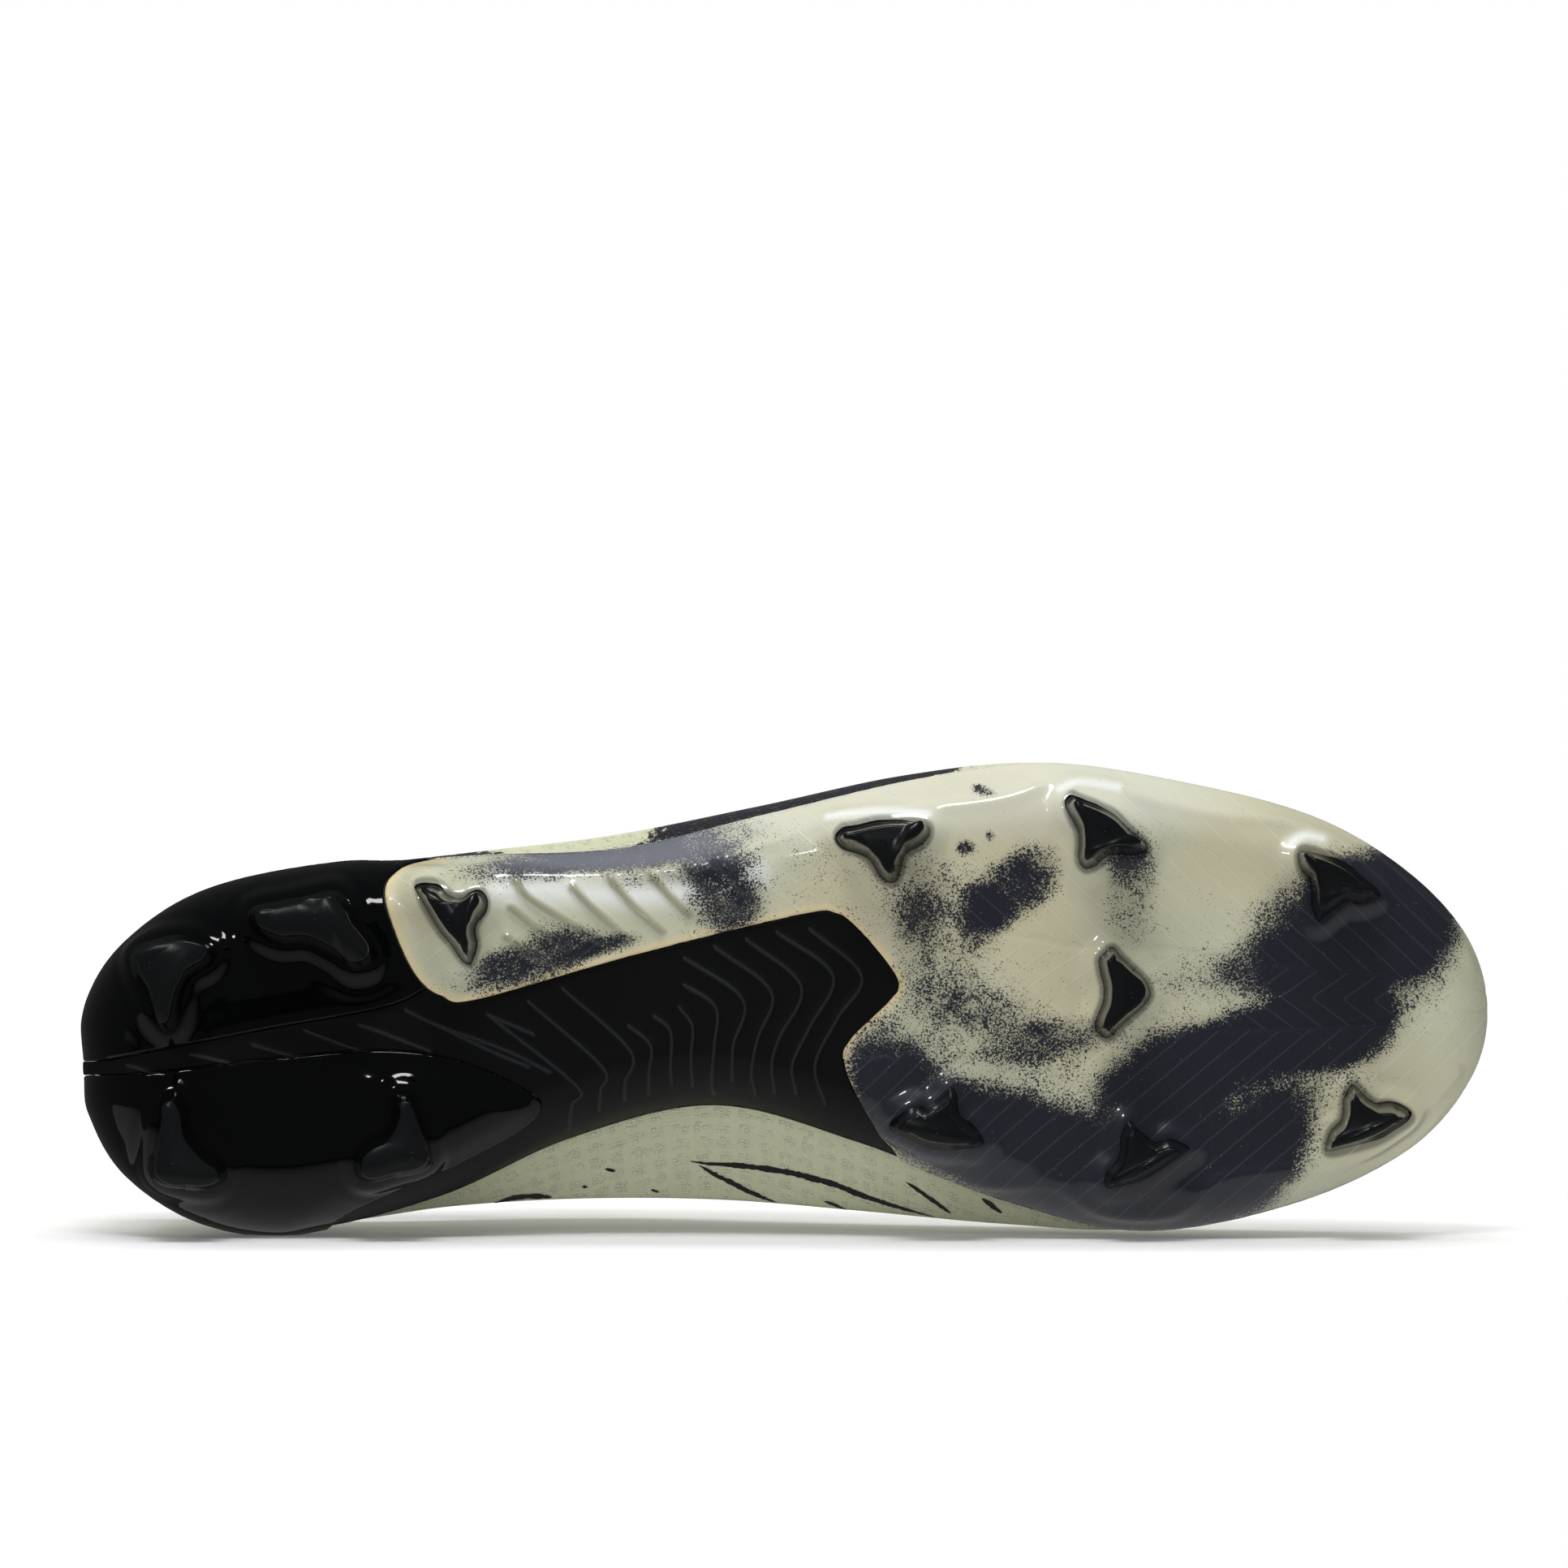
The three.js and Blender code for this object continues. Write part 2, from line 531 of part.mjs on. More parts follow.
function eyeletDrill(u) {
  const from = new THREE.Vector3(...upperInset(u, EYELET_V, -6));
  const to = new THREE.Vector3(...upperInset(u, EYELET_V, 6));
  const drill = new THREE.CylinderGeometry(EYELET_RADIUS, EYELET_RADIUS, from.distanceTo(to), 8);
  const along = to.clone().sub(from).normalize();
  drill.applyQuaternion(new THREE.Quaternion().setFromUnitVectors(new THREE.Vector3(0, 1, 0), along));
  drill.translate(...from.add(to).multiplyScalar(0.5).toArray());
  return toSolid(drill);
}
const drills = (side) => Array.from({ length: EYELETS }, (_, i) => eyeletDrill(eyeletAt(side, i)));
const drilled = (solid, holes) => holes.reduce((left, hole) => left.subtract(hole), solid);
add("knit_upper", "knit", toGeometry(drilled(upperWall, [...drills("lateral"), ...drills("medial")])));

function eyestay(side) {
  const span = [Math.min(...THROAT[side]), Math.max(...THROAT[side])];
  const strip = patch(span, [2.81, 2.985], [-GAP - EYESTAY, -GAP]);
  return toGeometry(drilled(toSolid(strip), drills(side)));
}
add("eyestay_lateral", "stay", eyestay("lateral"));
add("eyestay_medial", "stay", eyestay("medial"));

// Stiffeners, padding and lining inside the upper.
const COUNTER = [UPPER + GAP, UPPER + GAP + 1.1];
const PAD = [UPPER + GAP, UPPER + GAP + 3.4];
const LINING = [PAD[1] + GAP, PAD[1] + GAP + 0.8];
add("heel_counter", "stiffener", patch([-4, 4], [1.2, 2.24], COUNTER));
add("toe_puff", "stiffener", patch([TOE - 3, TOE + 3], [1.2, 2.5], COUNTER));
add("collar_pad_lateral", "foam", patch([1, 5.5], [2.26, 2.94], PAD));
add("collar_pad_medial", "foam", patch([-5.5, -1], [2.26, 2.94], PAD));
add("heel_lining", "lining", patch([-6, 6], [1.45, 2.97], LINING));

// ---- Round bars and cords ----
const circle = (radius, sides) =>
  new THREE.Shape(
    Array.from({ length: sides }, (_, i) => {
      const a = (i / sides) * Math.PI * 2;
      return new THREE.Vector2(Math.cos(a) * radius, Math.sin(a) * radius);
    }),
  );

// A round bar through points, with `steps` lengths between each two of them.
function bar(points, radius, sides, steps) {
  const path = new THREE.CatmullRomCurve3(points, false, "centripetal");
  path.getUtoTmapping = (share) => share;
  const options = { steps: (points.length - 1) * steps, extrudePath: path, bevelEnabled: false };
  return new THREE.ExtrudeGeometry(circle(radius, sides), options);
}

// A padded knitted roll along the collar's top edge, from one side of the throat round the heel.
const ROLL_RADIUS = 2.9;
const ROLL_SPAN = 6;
const ROLL_RISE = ROLL_RADIUS + 0.5;

function rollPoint(u) {
  const edge = new THREE.Vector3(...upperInset(u, 3, LINING[1] / 2));
  const along = new THREE.Vector3(...upperInset(u + 0.1, 3, 0)).sub(new THREE.Vector3(...upperInset(u - 0.1, 3, 0)));
  const across = new THREE.Vector3(...upperInset(u, 3, 1)).sub(new THREE.Vector3(...upperInset(u, 3, 0)));
  return edge.addScaledVector(along.cross(across).normalize(), ROLL_RISE);
}
const rollPath = Array.from({ length: 25 }, (_, i) => rollPoint(lerp(-ROLL_SPAN, ROLL_SPAN, i / 24)));
add("collar_roll", "knit", bar(rollPath, ROLL_RADIUS, 10, 1));

// ---- Tongue: a thin padded tongue that lies under the throat and stands up at the ankle ----
// along its length: x, half its width, z of its upper face
const TONGUE_LINE = [
  [186, 11, 51.6], [170, 15, 58], [150, 17, 67.3], [130, 17.5, 77], [112, 17, 86.2], [99, 16, 94.8],
  [90, 15, 103], [84, 12, 110],
];
const TONGUE_CROWN = 0.0175;
const TONGUE = 2.6;
const tongueLine = new THREE.CatmullRomCurve3(TONGUE_LINE.map((p) => new THREE.Vector3(...p)));

function tongueGrid(depth) {
  const [lengths, widths] = [14, 6];
  return Array.from({ length: lengths + 1 }, (_, i) => {
    const p = tongueLine.getPoint(i / lengths);
    const q = tongueLine.getTangent(i / lengths);
    const size = Math.hypot(q.x, q.z);
    return Array.from({ length: widths + 1 }, (__, j) => {
      const y = lerp(p.y, -p.y, j / widths);
      const z = p.z - TONGUE_CROWN * y * y;
      return [p.x - (q.z / size) * depth, y, z + (q.x / size) * depth];
    });
  });
}
add("tongue", "knit", wallBetween(tongueGrid(0), tongueGrid(TONGUE), false));

// ---- Lace: one cord, criss-crossed up the throat, with both ends tucked under the upper ----
const LACE = 1.1;
const UNDER = UPPER + LACE + 0.7; // its centre under the upper
const OVER = GAP + EYESTAY + LACE + 0.4; // its centre over the eyestays
const CROSS_RISE = 1.6; // half the height between two crossing runs
const TUCK_U = 6.75;
const otherSide = { lateral: "medial", medial: "lateral" };
const onUpper = (u, v, depth) => new THREE.Vector3(...upperInset(u, v, depth));
const tuckAt = (side, back) => (side === "lateral" ? TUCK_U - back : TURN - TUCK_U + back);

// One half of the lace, from under its first eyelet to its tucked end.
function laceHalf(first, rise) {
  const points = [];
  let side = first;
  for (let i = 0; i < EYELETS; i += 1) {
    const u = eyeletAt(side, i);
    if (i > 0) points.push(onUpper(u, 3, UNDER + 0.3));
    points.push(onUpper(u, EYELET_V, UNDER), onUpper(u, EYELET_V, 0.2), onUpper(u, EYELET_V, -OVER));
    const edge = onUpper(u, 3, -OVER);
    side = otherSide[side];
    const next = i < EYELETS - 1 ? eyeletAt(side, i + 1) : tuckAt(side, 0);
    const middle = onUpper(next, 3, -OVER).add(edge).multiplyScalar(0.5);
    points.push(edge, middle.setZ(middle.z + rise));
  }
  points.push(onUpper(tuckAt(side, 0), 3, UNDER + 0.3), onUpper(tuckAt(side, 0.1), 2.86, UNDER + 0.3));
  points.push(onUpper(tuckAt(side, 0.18), 2.74, UNDER + 0.4));
  return { points, side };
}
const halves = [laceHalf("lateral", CROSS_RISE), laceHalf("medial", -CROSS_RISE)];
const barEnds = ["lateral", "medial"].map((side) => onUpper(eyeletAt(side, 0), 3, UNDER + 0.3));
const barMiddle = barEnds[0].clone().add(barEnds[1]).multiplyScalar(0.5);
const lacePath = [...halves[0].points.toReversed(), barEnds[0], barMiddle, barEnds[1], ...halves[1].points];
add("lace", "lace", bar(lacePath, LACE, 8, 1));
for (const { side } of halves) {
  const ends = [
    [0.22, 2.7],
    [0.42, 2.46],
  ].map(([back, v]) => onUpper(tuckAt(side, back), v, UNDER + 0.6));
  add("lace_tip_" + side, "tip", bar(ends, LACE + 0.3, 10, 1));
}

// ---- Heel pull tab: a webbing loop over a sewn patch ----
const TAB = { x: 4.9, bottom: 87.8, top: 108, half: 1.8, strap: 1.1, width: 13 };
add("pull_tab_patch", "web", patch([-0.5, 0.5], [2.72, 2.9], [-GAP - 0.9, -GAP]));

function loopOutline(target, radius) {
  target.absarc(TAB.x, TAB.top, radius, 0, Math.PI, false);
  target.absarc(TAB.x, TAB.bottom, radius, Math.PI, Math.PI * 2, false);
  return target.closePath();
}
const loop = loopOutline(new THREE.Shape(), TAB.half);
loop.holes.push(loopOutline(new THREE.Path(), TAB.half - TAB.strap));
const tab = new THREE.ExtrudeGeometry(loop, { depth: TAB.width, bevelEnabled: false, curveSegments: 6 });
add("heel_pull_tab", "web", tab.rotateX(Math.PI / 2).translate(0, TAB.width / 2, 0));

boot.updateMatrixWorld(true);
const box = new THREE.Box3().setFromObject(boot);
const middle = box.getCenter(new THREE.Vector3());
boot.position.set(-middle.x, -middle.y, -box.min.z);

export default boot;
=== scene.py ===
import math

import bmesh
import bpy
import numpy as np
from mathutils import Matrix, Vector, geometry
from mathutils.kdtree import KDTree


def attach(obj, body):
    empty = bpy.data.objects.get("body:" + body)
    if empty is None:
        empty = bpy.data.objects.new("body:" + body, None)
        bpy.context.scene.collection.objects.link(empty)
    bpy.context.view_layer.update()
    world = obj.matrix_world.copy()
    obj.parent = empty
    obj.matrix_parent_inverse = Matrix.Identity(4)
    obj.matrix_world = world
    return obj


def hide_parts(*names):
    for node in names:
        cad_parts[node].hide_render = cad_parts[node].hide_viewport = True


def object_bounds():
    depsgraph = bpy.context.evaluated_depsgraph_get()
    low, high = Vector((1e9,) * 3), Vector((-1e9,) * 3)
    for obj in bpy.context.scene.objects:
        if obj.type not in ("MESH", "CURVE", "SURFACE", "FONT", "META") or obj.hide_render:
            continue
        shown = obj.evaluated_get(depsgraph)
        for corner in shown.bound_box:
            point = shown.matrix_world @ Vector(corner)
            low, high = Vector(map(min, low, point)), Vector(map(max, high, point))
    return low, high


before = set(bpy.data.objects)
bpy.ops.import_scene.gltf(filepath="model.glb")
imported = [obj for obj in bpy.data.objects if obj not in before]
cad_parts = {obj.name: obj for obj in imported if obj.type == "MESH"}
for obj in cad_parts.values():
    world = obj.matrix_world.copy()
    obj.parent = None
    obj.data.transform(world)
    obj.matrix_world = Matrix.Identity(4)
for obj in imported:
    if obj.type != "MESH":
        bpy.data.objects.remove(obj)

# A soccer cleat for the right foot. Lengths are in millimetres of the shoe's own chart: x from the
# heel (0) to the toe (283), y towards the inner side of the foot, z up from the ground.
low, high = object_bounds()
OUTER_REACH = 52.3
ORIGIN = np.array([low.x, low.y + OUTER_REACH / 1000, 0.0])


# ---- Last ----
# The last the shoe is built on: three matched closed curves from the heel round the outer side to
# the toe and back. Each row holds the outsole's edge, the widest line and the rim of the foot opening.
STATIONS = [
    [[0, 0], [1.4, 0, 45], [9, 0, 88]], [[2.2, -12], [3.4, -11.7, 45], [11, -9, 87]],
    [[10, -22.6], [10.8, -21.9, 45], [19, -18, 83]], [[25, -31.8], [25.2, -30.9, 44], [33, -25, 75.5]],
    [[47, -36.3], [47, -35.6, 42], [52, -28, 71]], [[80, -38], [79, -38.4, 38], [76, -27, 77]],
    [[110, -38.4], [108, -40.8, 36], [95, -21, 89]], [[140, -44.2], [138, -45.6, 32.5], [108, -14.5, 92]],
    [[170, -50], [168, -50.8, 28], [124, -12.5, 83.5]], [[196, -52.3], [195, -52.2, 26], [140, -11.5, 75.5]],
    [[225, -47], [223, -46.9, 25.5], [154, -10, 69]], [[250, -39.2], [248, -38.9, 26.5], [164, -8.5, 65]],
    [[268, -27.6], [266.3, -27, 28], [170.5, -6.5, 62.7]],
    [[279.5, -14], [277.8, -13.6, 29.5], [174, -3.8, 61.6]],
    [[283, 0.5], [281.6, 0.5, 30], [175, -1, 61.3]], [[279, 14.5], [277.4, 14, 29.5], [174, 2, 61.7]],
    [[266, 28], [264.4, 27.2, 28], [170.5, 5, 63]], [[242, 38], [240.6, 37.6, 26.5], [163, 7.5, 66]],
    [[212, 42.2], [211, 42, 26.5], [152, 9.5, 70.5]], [[185, 35.4], [184, 40.2, 30], [138, 11, 77.3]],
    [[155, 23], [155, 36.8, 36], [122, 12.5, 86]], [[127, 15], [127, 33.8, 41], [107, 14.5, 94]],
    [[98, 20.6], [99, 32.6, 42], [93, 20.5, 91]], [[72, 31], [73, 33.2, 42], [74, 26.5, 79]],
    [[45, 36.7], [46, 35.6, 43], [50, 27.5, 73]], [[24, 33.8], [24.6, 32.9, 45], [31, 24.5, 77.5]],
    [[8.5, 23.6], [9.4, 22.9, 45], [18, 17.5, 84]], [[1.5, 11], [2.9, 10.7, 45], [11, 9, 87]],
]
TURN = len(STATIONS)


def hermite(p, q, m, n, t):
    t2, t3 = t * t, t * t * t
    return (2 * t3 - 3 * t2 + 1) * p + (t3 - 2 * t2 + t) * m + (3 * t2 - 2 * t3) * q + (t3 - t2) * n


def loop(points):
    """A smooth closed curve through points; its parameter counts them."""
    rows = np.array(points, float)

    def at(u):
        u = np.asarray(u, float)
        i = np.floor(u).astype(int)
        a, b, c, d = (rows[(i + k) % len(rows)] for k in (-1, 0, 1, 2))
        return hermite(b, c, (c - a) / 2, (d - b) / 2, (u - i)[..., None])
    return at


edge_at, widest_at, rim_at = (loop([s[k] for s in STATIONS]) for k in range(3))


def table(pairs):
    """A smooth function through (x, value) pairs, level beyond both ends."""
    xs, ys = np.array(pairs, float).T
    ends = np.arange(len(xs))
    before, after = np.maximum(ends - 1, 0), np.minimum(ends + 1, len(xs) - 1)
    slopes = (ys[after] - ys[before]) / (xs[after] - xs[before])

    def at(x):
        x = np.clip(x, xs[0], xs[-1])
        i = np.clip(np.searchsorted(xs, x, "right") - 1, 0, len(xs) - 2)
        span = xs[i + 1] - xs[i]
        return hermite(ys[i], ys[i + 1], slopes[i] * span, slopes[i + 1] * span, (x - xs[i]) / span)
    return at


# The sole's face: how high it stands over the ground along the shoe and how its edge rolls up.
# The heel is nearly a half round, the forefoot flatter.
rocker = table([
    (0, 16), (15, 13.4), (40, 13), (70, 14.5), (105, 18), (135, 15), (163, 11.8), (190, 11.5),
    (215, 11.8), (240, 13.2), (262, 16), (283, 20)])
roll_lift = (
    table([(0, 20), (55, 19), (80, 12), (110, 10), (150, 9), (240, 8.5), (283, 7)]),
    table([(0, 20), (50, 20), (80, 18), (125, 15), (165, 10), (200, 9), (240, 8.5), (283, 7)]))
roll_width = (
    table([(0, 14), (55, 12), (80, 9), (115, 8), (150, 12), (200, 12), (240, 11), (283, 9)]),
    table([(0, 14), (50, 15), (80, 14), (125, 13), (160, 11), (200, 9), (283, 9)]))
roundness = table([(0, 1), (60, 0.9), (110, 0.45), (150, 0.15), (283, 0.15)])


def inward_at(u):
    d = edge_at(u + 0.05) - edge_at(u - 0.05)
    d /= np.linalg.norm(d, axis=-1)[..., None]
    return np.stack([-d[..., 1], d[..., 0]], -1)


def roll_at(u, distance):
    """How far the face has rolled up at a distance in from the edge, and its slope there."""
    x = edge_at(u)[..., 0]
    medial = np.mod(u, TURN) > TURN / 2
    lift = np.where(medial, roll_lift[1](x), roll_lift[0](x))
    width = np.where(medial, roll_width[1](x), roll_width[0](x))
    r = roundness(x)
    s = np.clip(1 - distance / width, 0, 0.985)
    arc = np.sqrt(1 - s * s)
    return lift * ((1 - r) * s * s + r * (1 - arc)), lift / width * ((1 - r) * 2 * s + r * s / arc)


def sole_point(u, distance, depth):
    """A point sunk under the sole's face, square to its rolled edge."""
    u = np.asarray(u, float)
    distance = np.broadcast_to(np.asarray(distance, float), u.shape)
    lift, slope = roll_at(u, distance)
    size = np.hypot(1, slope)
    d = distance + depth * slope / size
    xy = edge_at(u) + inward_at(u) * d[..., None]
    return np.concatenate([xy, (rocker(xy[..., 0]) + lift + depth / size)[..., None]], -1)


# ---- Outsole ----
# Four moulded pieces share one face: a milky forefoot plate, a matt black bridge under the arch,
# set a little deeper, and two gloss black pods under the heel. They meet along crisp seams.
LATERAL_POD = [
    (-8, -4), (-4, 0.8), (16.7, -1.6), (40, -5.2), (60, -8), (69, -11), (74, -16), (74, -28), (80, -40),
    (74, -50), (30, -50), (-8, -30)]
MEDIAL_POD = [
    (-8, 12), (-4, 4.4), (16.5, 2.8), (42, 0.8), (62, 0.2), (76, 2.7), (88, 8.3), (92.6, 12.6), (88, 17.8),
    (72, 25.4), (54, 32.6), (42, 42), (30, 50), (-4, 34)]
FOREFOOT = [
    (76, -39.5), (67.4, -36.6), (63, -32.4), (65, -22.6), (69, -14), (73.6, -10.2), (80.6, -9.2),
    (112, -16.8),
    (144.7, -23.6), (152.6, -23.8), (158, -19.4), (164.6, -10), (162.4, -5.8), (154.4, 1.6), (153.2, 6.4),
    (157.4, 16.8), (164.4, 28), (170, 44), (205, 62), (250, 56), (300, 30), (300, -30), (250, -64),
    (200, -70), (130, -60), (90, -52)]
RECESS = 0.8
PLATE = 2.2

# Outlines of the blade studs where they leave the plate, with the mark of the moulding gate on each
# foot and the way the foot leans out from the root.
STUDS = {
    "stud_midfoot_lateral": dict(
        gate=(74.8, -24.6), lean=(-0.4, -0.6), arms=[(-7.6, -5.7), (5.3, -4.1), (2.3, 9.8)], at=(76.5, -26.4),
        root=[(68.9, -31.8), (71.2, -32.2), (73.4, -31.7), (75.6, -29.9), (77.9, -29.4), (79.7, -30.3),
              (81.5, -30.4), (82.6, -29), (82.4, -26.8), (80.6, -24.2), (80.2, -22.4), (80.5, -19.8),
              (79.5, -16.7), (78.9, -16), (77.4, -16.8), (75.3, -20), (73.1, -22.7), (71.2, -26),
              (69.6, -29.2)]),
    "stud_forefoot_lateral_rear": dict(
        gate=(162.7, -37.6), lean=(-0.3, -1.2), arms=[(-9.8, -1.9), (8.9, -5), (1.5, 6.8)], at=(163.5, -36.8),
        root=[(153.7, -38.6), (155.1, -40.2), (157.7, -40.6), (162, -41.4), (167, -41.4), (170.8, -40.9),
              (172.2, -40.3), (172.5, -39.2), (171.8, -37.6), (170.3, -36.2), (167.9, -35.1), (166.9, -33.7),
              (166.4, -31.9), (165.6, -29.8), (164.6, -29.1), (163, -29.4), (161.6, -31), (160.4, -33.3),
              (159.4, -34.5), (157.5, -35.5), (155.1, -36.7)]),
    "stud_forefoot_lateral_middle": dict(
        gate=(207.5, -38.4), lean=(0.3, -1.2), arms=[(-5.4, -7.6), (8.6, 2), (-3.6, 6.2)], at=(206.4, -37.2),
        root=[(200.8, -45.1), (202.4, -44.4), (205.9, -43), (209.3, -41.2), (211.5, -39), (213.2, -37.3),
              (214.9, -35.8), (215.9, -34.5), (215.2, -33.4), (213, -32.8), (210.7, -33), (208.5, -33.1),
              (207, -32.5), (205.5, -31.1), (204, -30.5), (203, -30.4), (201.9, -31.6), (201.6, -33.4),
              (201.9, -35.6), (201.8, -37.9), (201, -39.8), (200, -41.9), (199.7, -43.6)]),
    "stud_forefoot_lateral_front": dict(
        gate=(255, -26.2), lean=(0.9, -0.9), arms=[(-6.6, -6.2), (8.4, 3.2), (-3.4, 7.4)], at=(252.6, -26.2),
        root=[(246.6, -32.7), (245.6, -31.6), (246.1, -28.9), (247.8, -26.4), (248.1, -24.1), (248, -21.9),
              (248.7, -19.2), (249.5, -18), (251.7, -19.6), (253.7, -21), (255.5, -22.1), (257.8, -21.7),
              (260.2, -22.2), (261.7, -23.1), (260.8, -24.5), (258.3, -26.7), (256.4, -28.6), (253.5, -30.3),
              (249.7, -31.9)]),
    "stud_forefoot_centre": dict(
        gate=(211.6, -4.8), lean=(0.9, 0.2), arms=[(-1.6, -8.4), (5.2, 0), (-3.2, 7.2)], at=(209, -4.8),
        root=[(207.6, -14.9), (208.6, -14.5), (209.5, -13.2), (212, -10.6), (214.4, -8), (215.3, -5.6),
              (215, -4.2), (213.5, -2.4), (210.5, 0.1), (208.1, 2.2), (206.3, 3.6), (204.7, 2.8),
              (203.6, 1.3),
              (204.2, -1.2), (205.4, -3.9), (205.7, -6.8), (205.1, -9.8), (204.9, -12.4), (206.1, -13.8)]),
    "stud_forefoot_medial_rear": dict(
        gate=(171.4, 20.9), lean=(-0.4, 1.2), arms=[(-9.2, -0.2), (2, -6.4), (7.2, 3.6)], at=(173, 19.8),
        root=[(162.5, 19.3), (164.7, 16.8), (167.8, 15.3), (169.6, 15.8), (172.3, 14.1), (174.8, 11.9),
              (175.9, 14.1), (176.2, 17.5), (178.3, 19.1), (179.9, 20.9), (180.9, 23.2), (179.7, 24.3),
              (176.3, 24.4), (172.2, 24.1), (169, 23.3), (165.7, 21.5), (163.1, 20.3)]),
    "stud_forefoot_medial_middle": dict(
        gate=(213.3, 29.2), lean=(0.4, 1.2), arms=[(-1.8, -6.4), (8.6, -1.6), (-7, 5)], at=(212.4, 27.6),
        root=[(210.2, 19.9), (211.6, 21.6), (213.7, 23.5), (215.1, 24.4), (217.4, 23.8), (219.7, 24.5),
              (221.9, 26.1), (220.2, 27.2), (217.2, 29.2), (214.2, 31), (211.2, 32.4), (207, 33.3),
              (205.2, 33.6), (204.4, 32.1), (205, 30), (206.8, 28.1), (207.7, 26.4), (208, 23.4),
              (208.9, 21.2)]),
    "stud_forefoot_medial_front": dict(
        gate=(259, 23.9), lean=(0.9, 1.2), arms=[(-1.6, -6.4), (8.4, -1), (-7.6, 4.6)], at=(256.8, 22.2),
        root=[(255.3, 14.4), (256.4, 15.3), (258.1, 17.3), (259.8, 18.5), (262.4, 18.6), (264.4, 19.4),
              (266, 20.4), (266.3, 21.2), (265.4, 22.3), (263.1, 23.7), (260.7, 25.1), (257.8, 26.3),
              (253.6, 27.4), (249.9, 28.1), (248.9, 27.3), (249.5, 25), (250.5, 23.2), (252.4, 21.5),
              (252.8, 19.9), (253, 17.5), (254.1, 15.4)]),
    "stud_heel_lateral_rear": dict(
        gate=(14.7, -18.2), lean=(-1.4, -1.4), arms=[(-3.8, -1.8), (8.6, -3.8), (-0.4, 10)], at=(17, -16.4),
        root=[(11.6, -20.8), (14.8, -22.6), (20, -23.6), (25.4, -23.2), (28.8, -20.6), (27.4, -17.2),
              (23.4, -14.8), (21.6, -10.6), (20.2, -5.6), (17.6, -4.2), (15.2, -7.2), (13.6, -12.6),
              (11.8, -17)]),
    "stud_heel_lateral_front": dict(
        gate=(48.3, -26.9), lean=(-0.6, -1.5), arms=[(-10.2, 0.4), (1.6, -3.6), (5.8, 8.4)], at=(49.4, -25),
        root=[(36, -28.6), (41, -29.6), (47, -30.6), (52, -31.4), (54.6, -29.6), (56.8, -25.6), (60.4, -20.4),
              (59.8, -16.6), (56, -15.4), (52, -17.8), (46.8, -20.6), (41.4, -20.8), (37.6, -22.6),
              (35.2, -25.4)]),
    "stud_heel_medial_rear": dict(
        gate=(17.7, 22.3), lean=(-1.2, 1.8), arms=[(-1.6, -10), (-3, 3.2), (7.6, 3.6)], at=(19, 19.6),
        root=[(16.4, 7.6), (19.4, 6.6), (21.8, 9.8), (22.6, 15), (25, 18.4), (28.6, 21.6), (29, 25),
              (25.6, 26.8), (20, 26.4), (15.6, 25.4), (13.6, 22.8), (14.4, 17.6), (15.2, 12)]),
    "stud_heel_medial_front": dict(
        gate=(66, 21.9), lean=(0.6, 1.7), arms=[(0.6, -9), (2.8, 2), (-7.4, 3.2)], at=(64.6, 18.8),
        root=[(63.8, 8.4), (66.6, 9.2), (68.4, 13.4), (69.8, 18.6), (70, 22.8), (67.6, 24.8), (62.6, 25.8),
              (57.4, 26.8), (54.2, 25.2), (54, 21), (56.6, 18), (60.2, 16.2), (61.8, 12.6), (62, 9.6)]),
}
GROUND_DROP = 13.4

# Thin raised ribs of the arch bridge, and the lines that run back along the spine of the heel.
RIBS = [
    [(147.3, -20.8), (157.3, -11.2), (152.1, -2.7), (147.4, 6.3), (149, 14.8)],
    [(140.8, -20.3), (151.6, -11.4), (146.6, -1.3), (142.8, 6.2), (143.3, 12.4)],
    [(134.7, -19.1), (145.2, -9.5), (140.5, 0.6), (138.7, 6), (139, 12)],
    [(128.2, -17.8), (139.2, -8.6), (136.2, 0.5), (134.6, 7.5), (135.2, 12.4)],
    [(122.1, -15.8), (133.5, -7.2), (131.2, 1.9), (130.7, 9.5)],
    [(121.9, -10.4), (128, -5.8), (127.4, 1.8), (126.6, 9.4), (127, 12.1)],
    [(120.7, -6.1), (123.2, -2.2), (122.7, 3.8), (122.8, 10.3)],
    [(115.7, -4.4), (118.8, -1.3), (118.6, 5.3), (118.6, 9.6)],
    [(110.5, -2.7), (114.7, 1.3), (114.3, 6.7), (114, 11.6)],
    [(97.7, -10.7), (110.6, 2.2), (109.5, 8.7), (109.1, 12.5)],
    [(90.9, -8.3), (105, 5.3), (104.6, 10.2), (103.9, 14.5)],
    [(82.6, -6.1), (99.7, 8.9), (98.7, 13.2), (97.7, 18.1)],
    [(72.2, -4.6), (86.1, 1.3), (94.7, 6)], [(82.6, -6.1), (91.7, -1.7)],
    [(66.4, -7.6), (81.8, 0.6), (90.4, 4.7)],
    [(57, -5.2), (70.9, 0.8)], [(46.1, -4.5), (57.9, 0.5)], [(35.7, -1.9), (44.8, 1.1)],
    [(23.2, -0.5), (31.8, 2)], [(10.1, 1.2), (15.4, 3)],
]
# Blunt fins that stiffen the milky plate beside the arch.
FINS = [
    [(89, -32.3), (92.7, -28.3), (105.7, -20)], [(100.4, -30.8), (104.6, -26.2), (111.4, -20)],
    [(108, -32.1), (112.2, -27), (118, -21.4)], [(116.5, -32.3), (119.3, -29), (123.5, -24.5)],
    [(123.6, -33.7), (127, -29.8), (133.8, -24.1)], [(129.4, -35.6), (133, -31.2), (137.2, -25.6)],
    [(88, -27.4), (92.5, -23.4), (98.9, -18.9)], [(87, -21.5), (91.2, -18.1), (95, -16.6)],
]
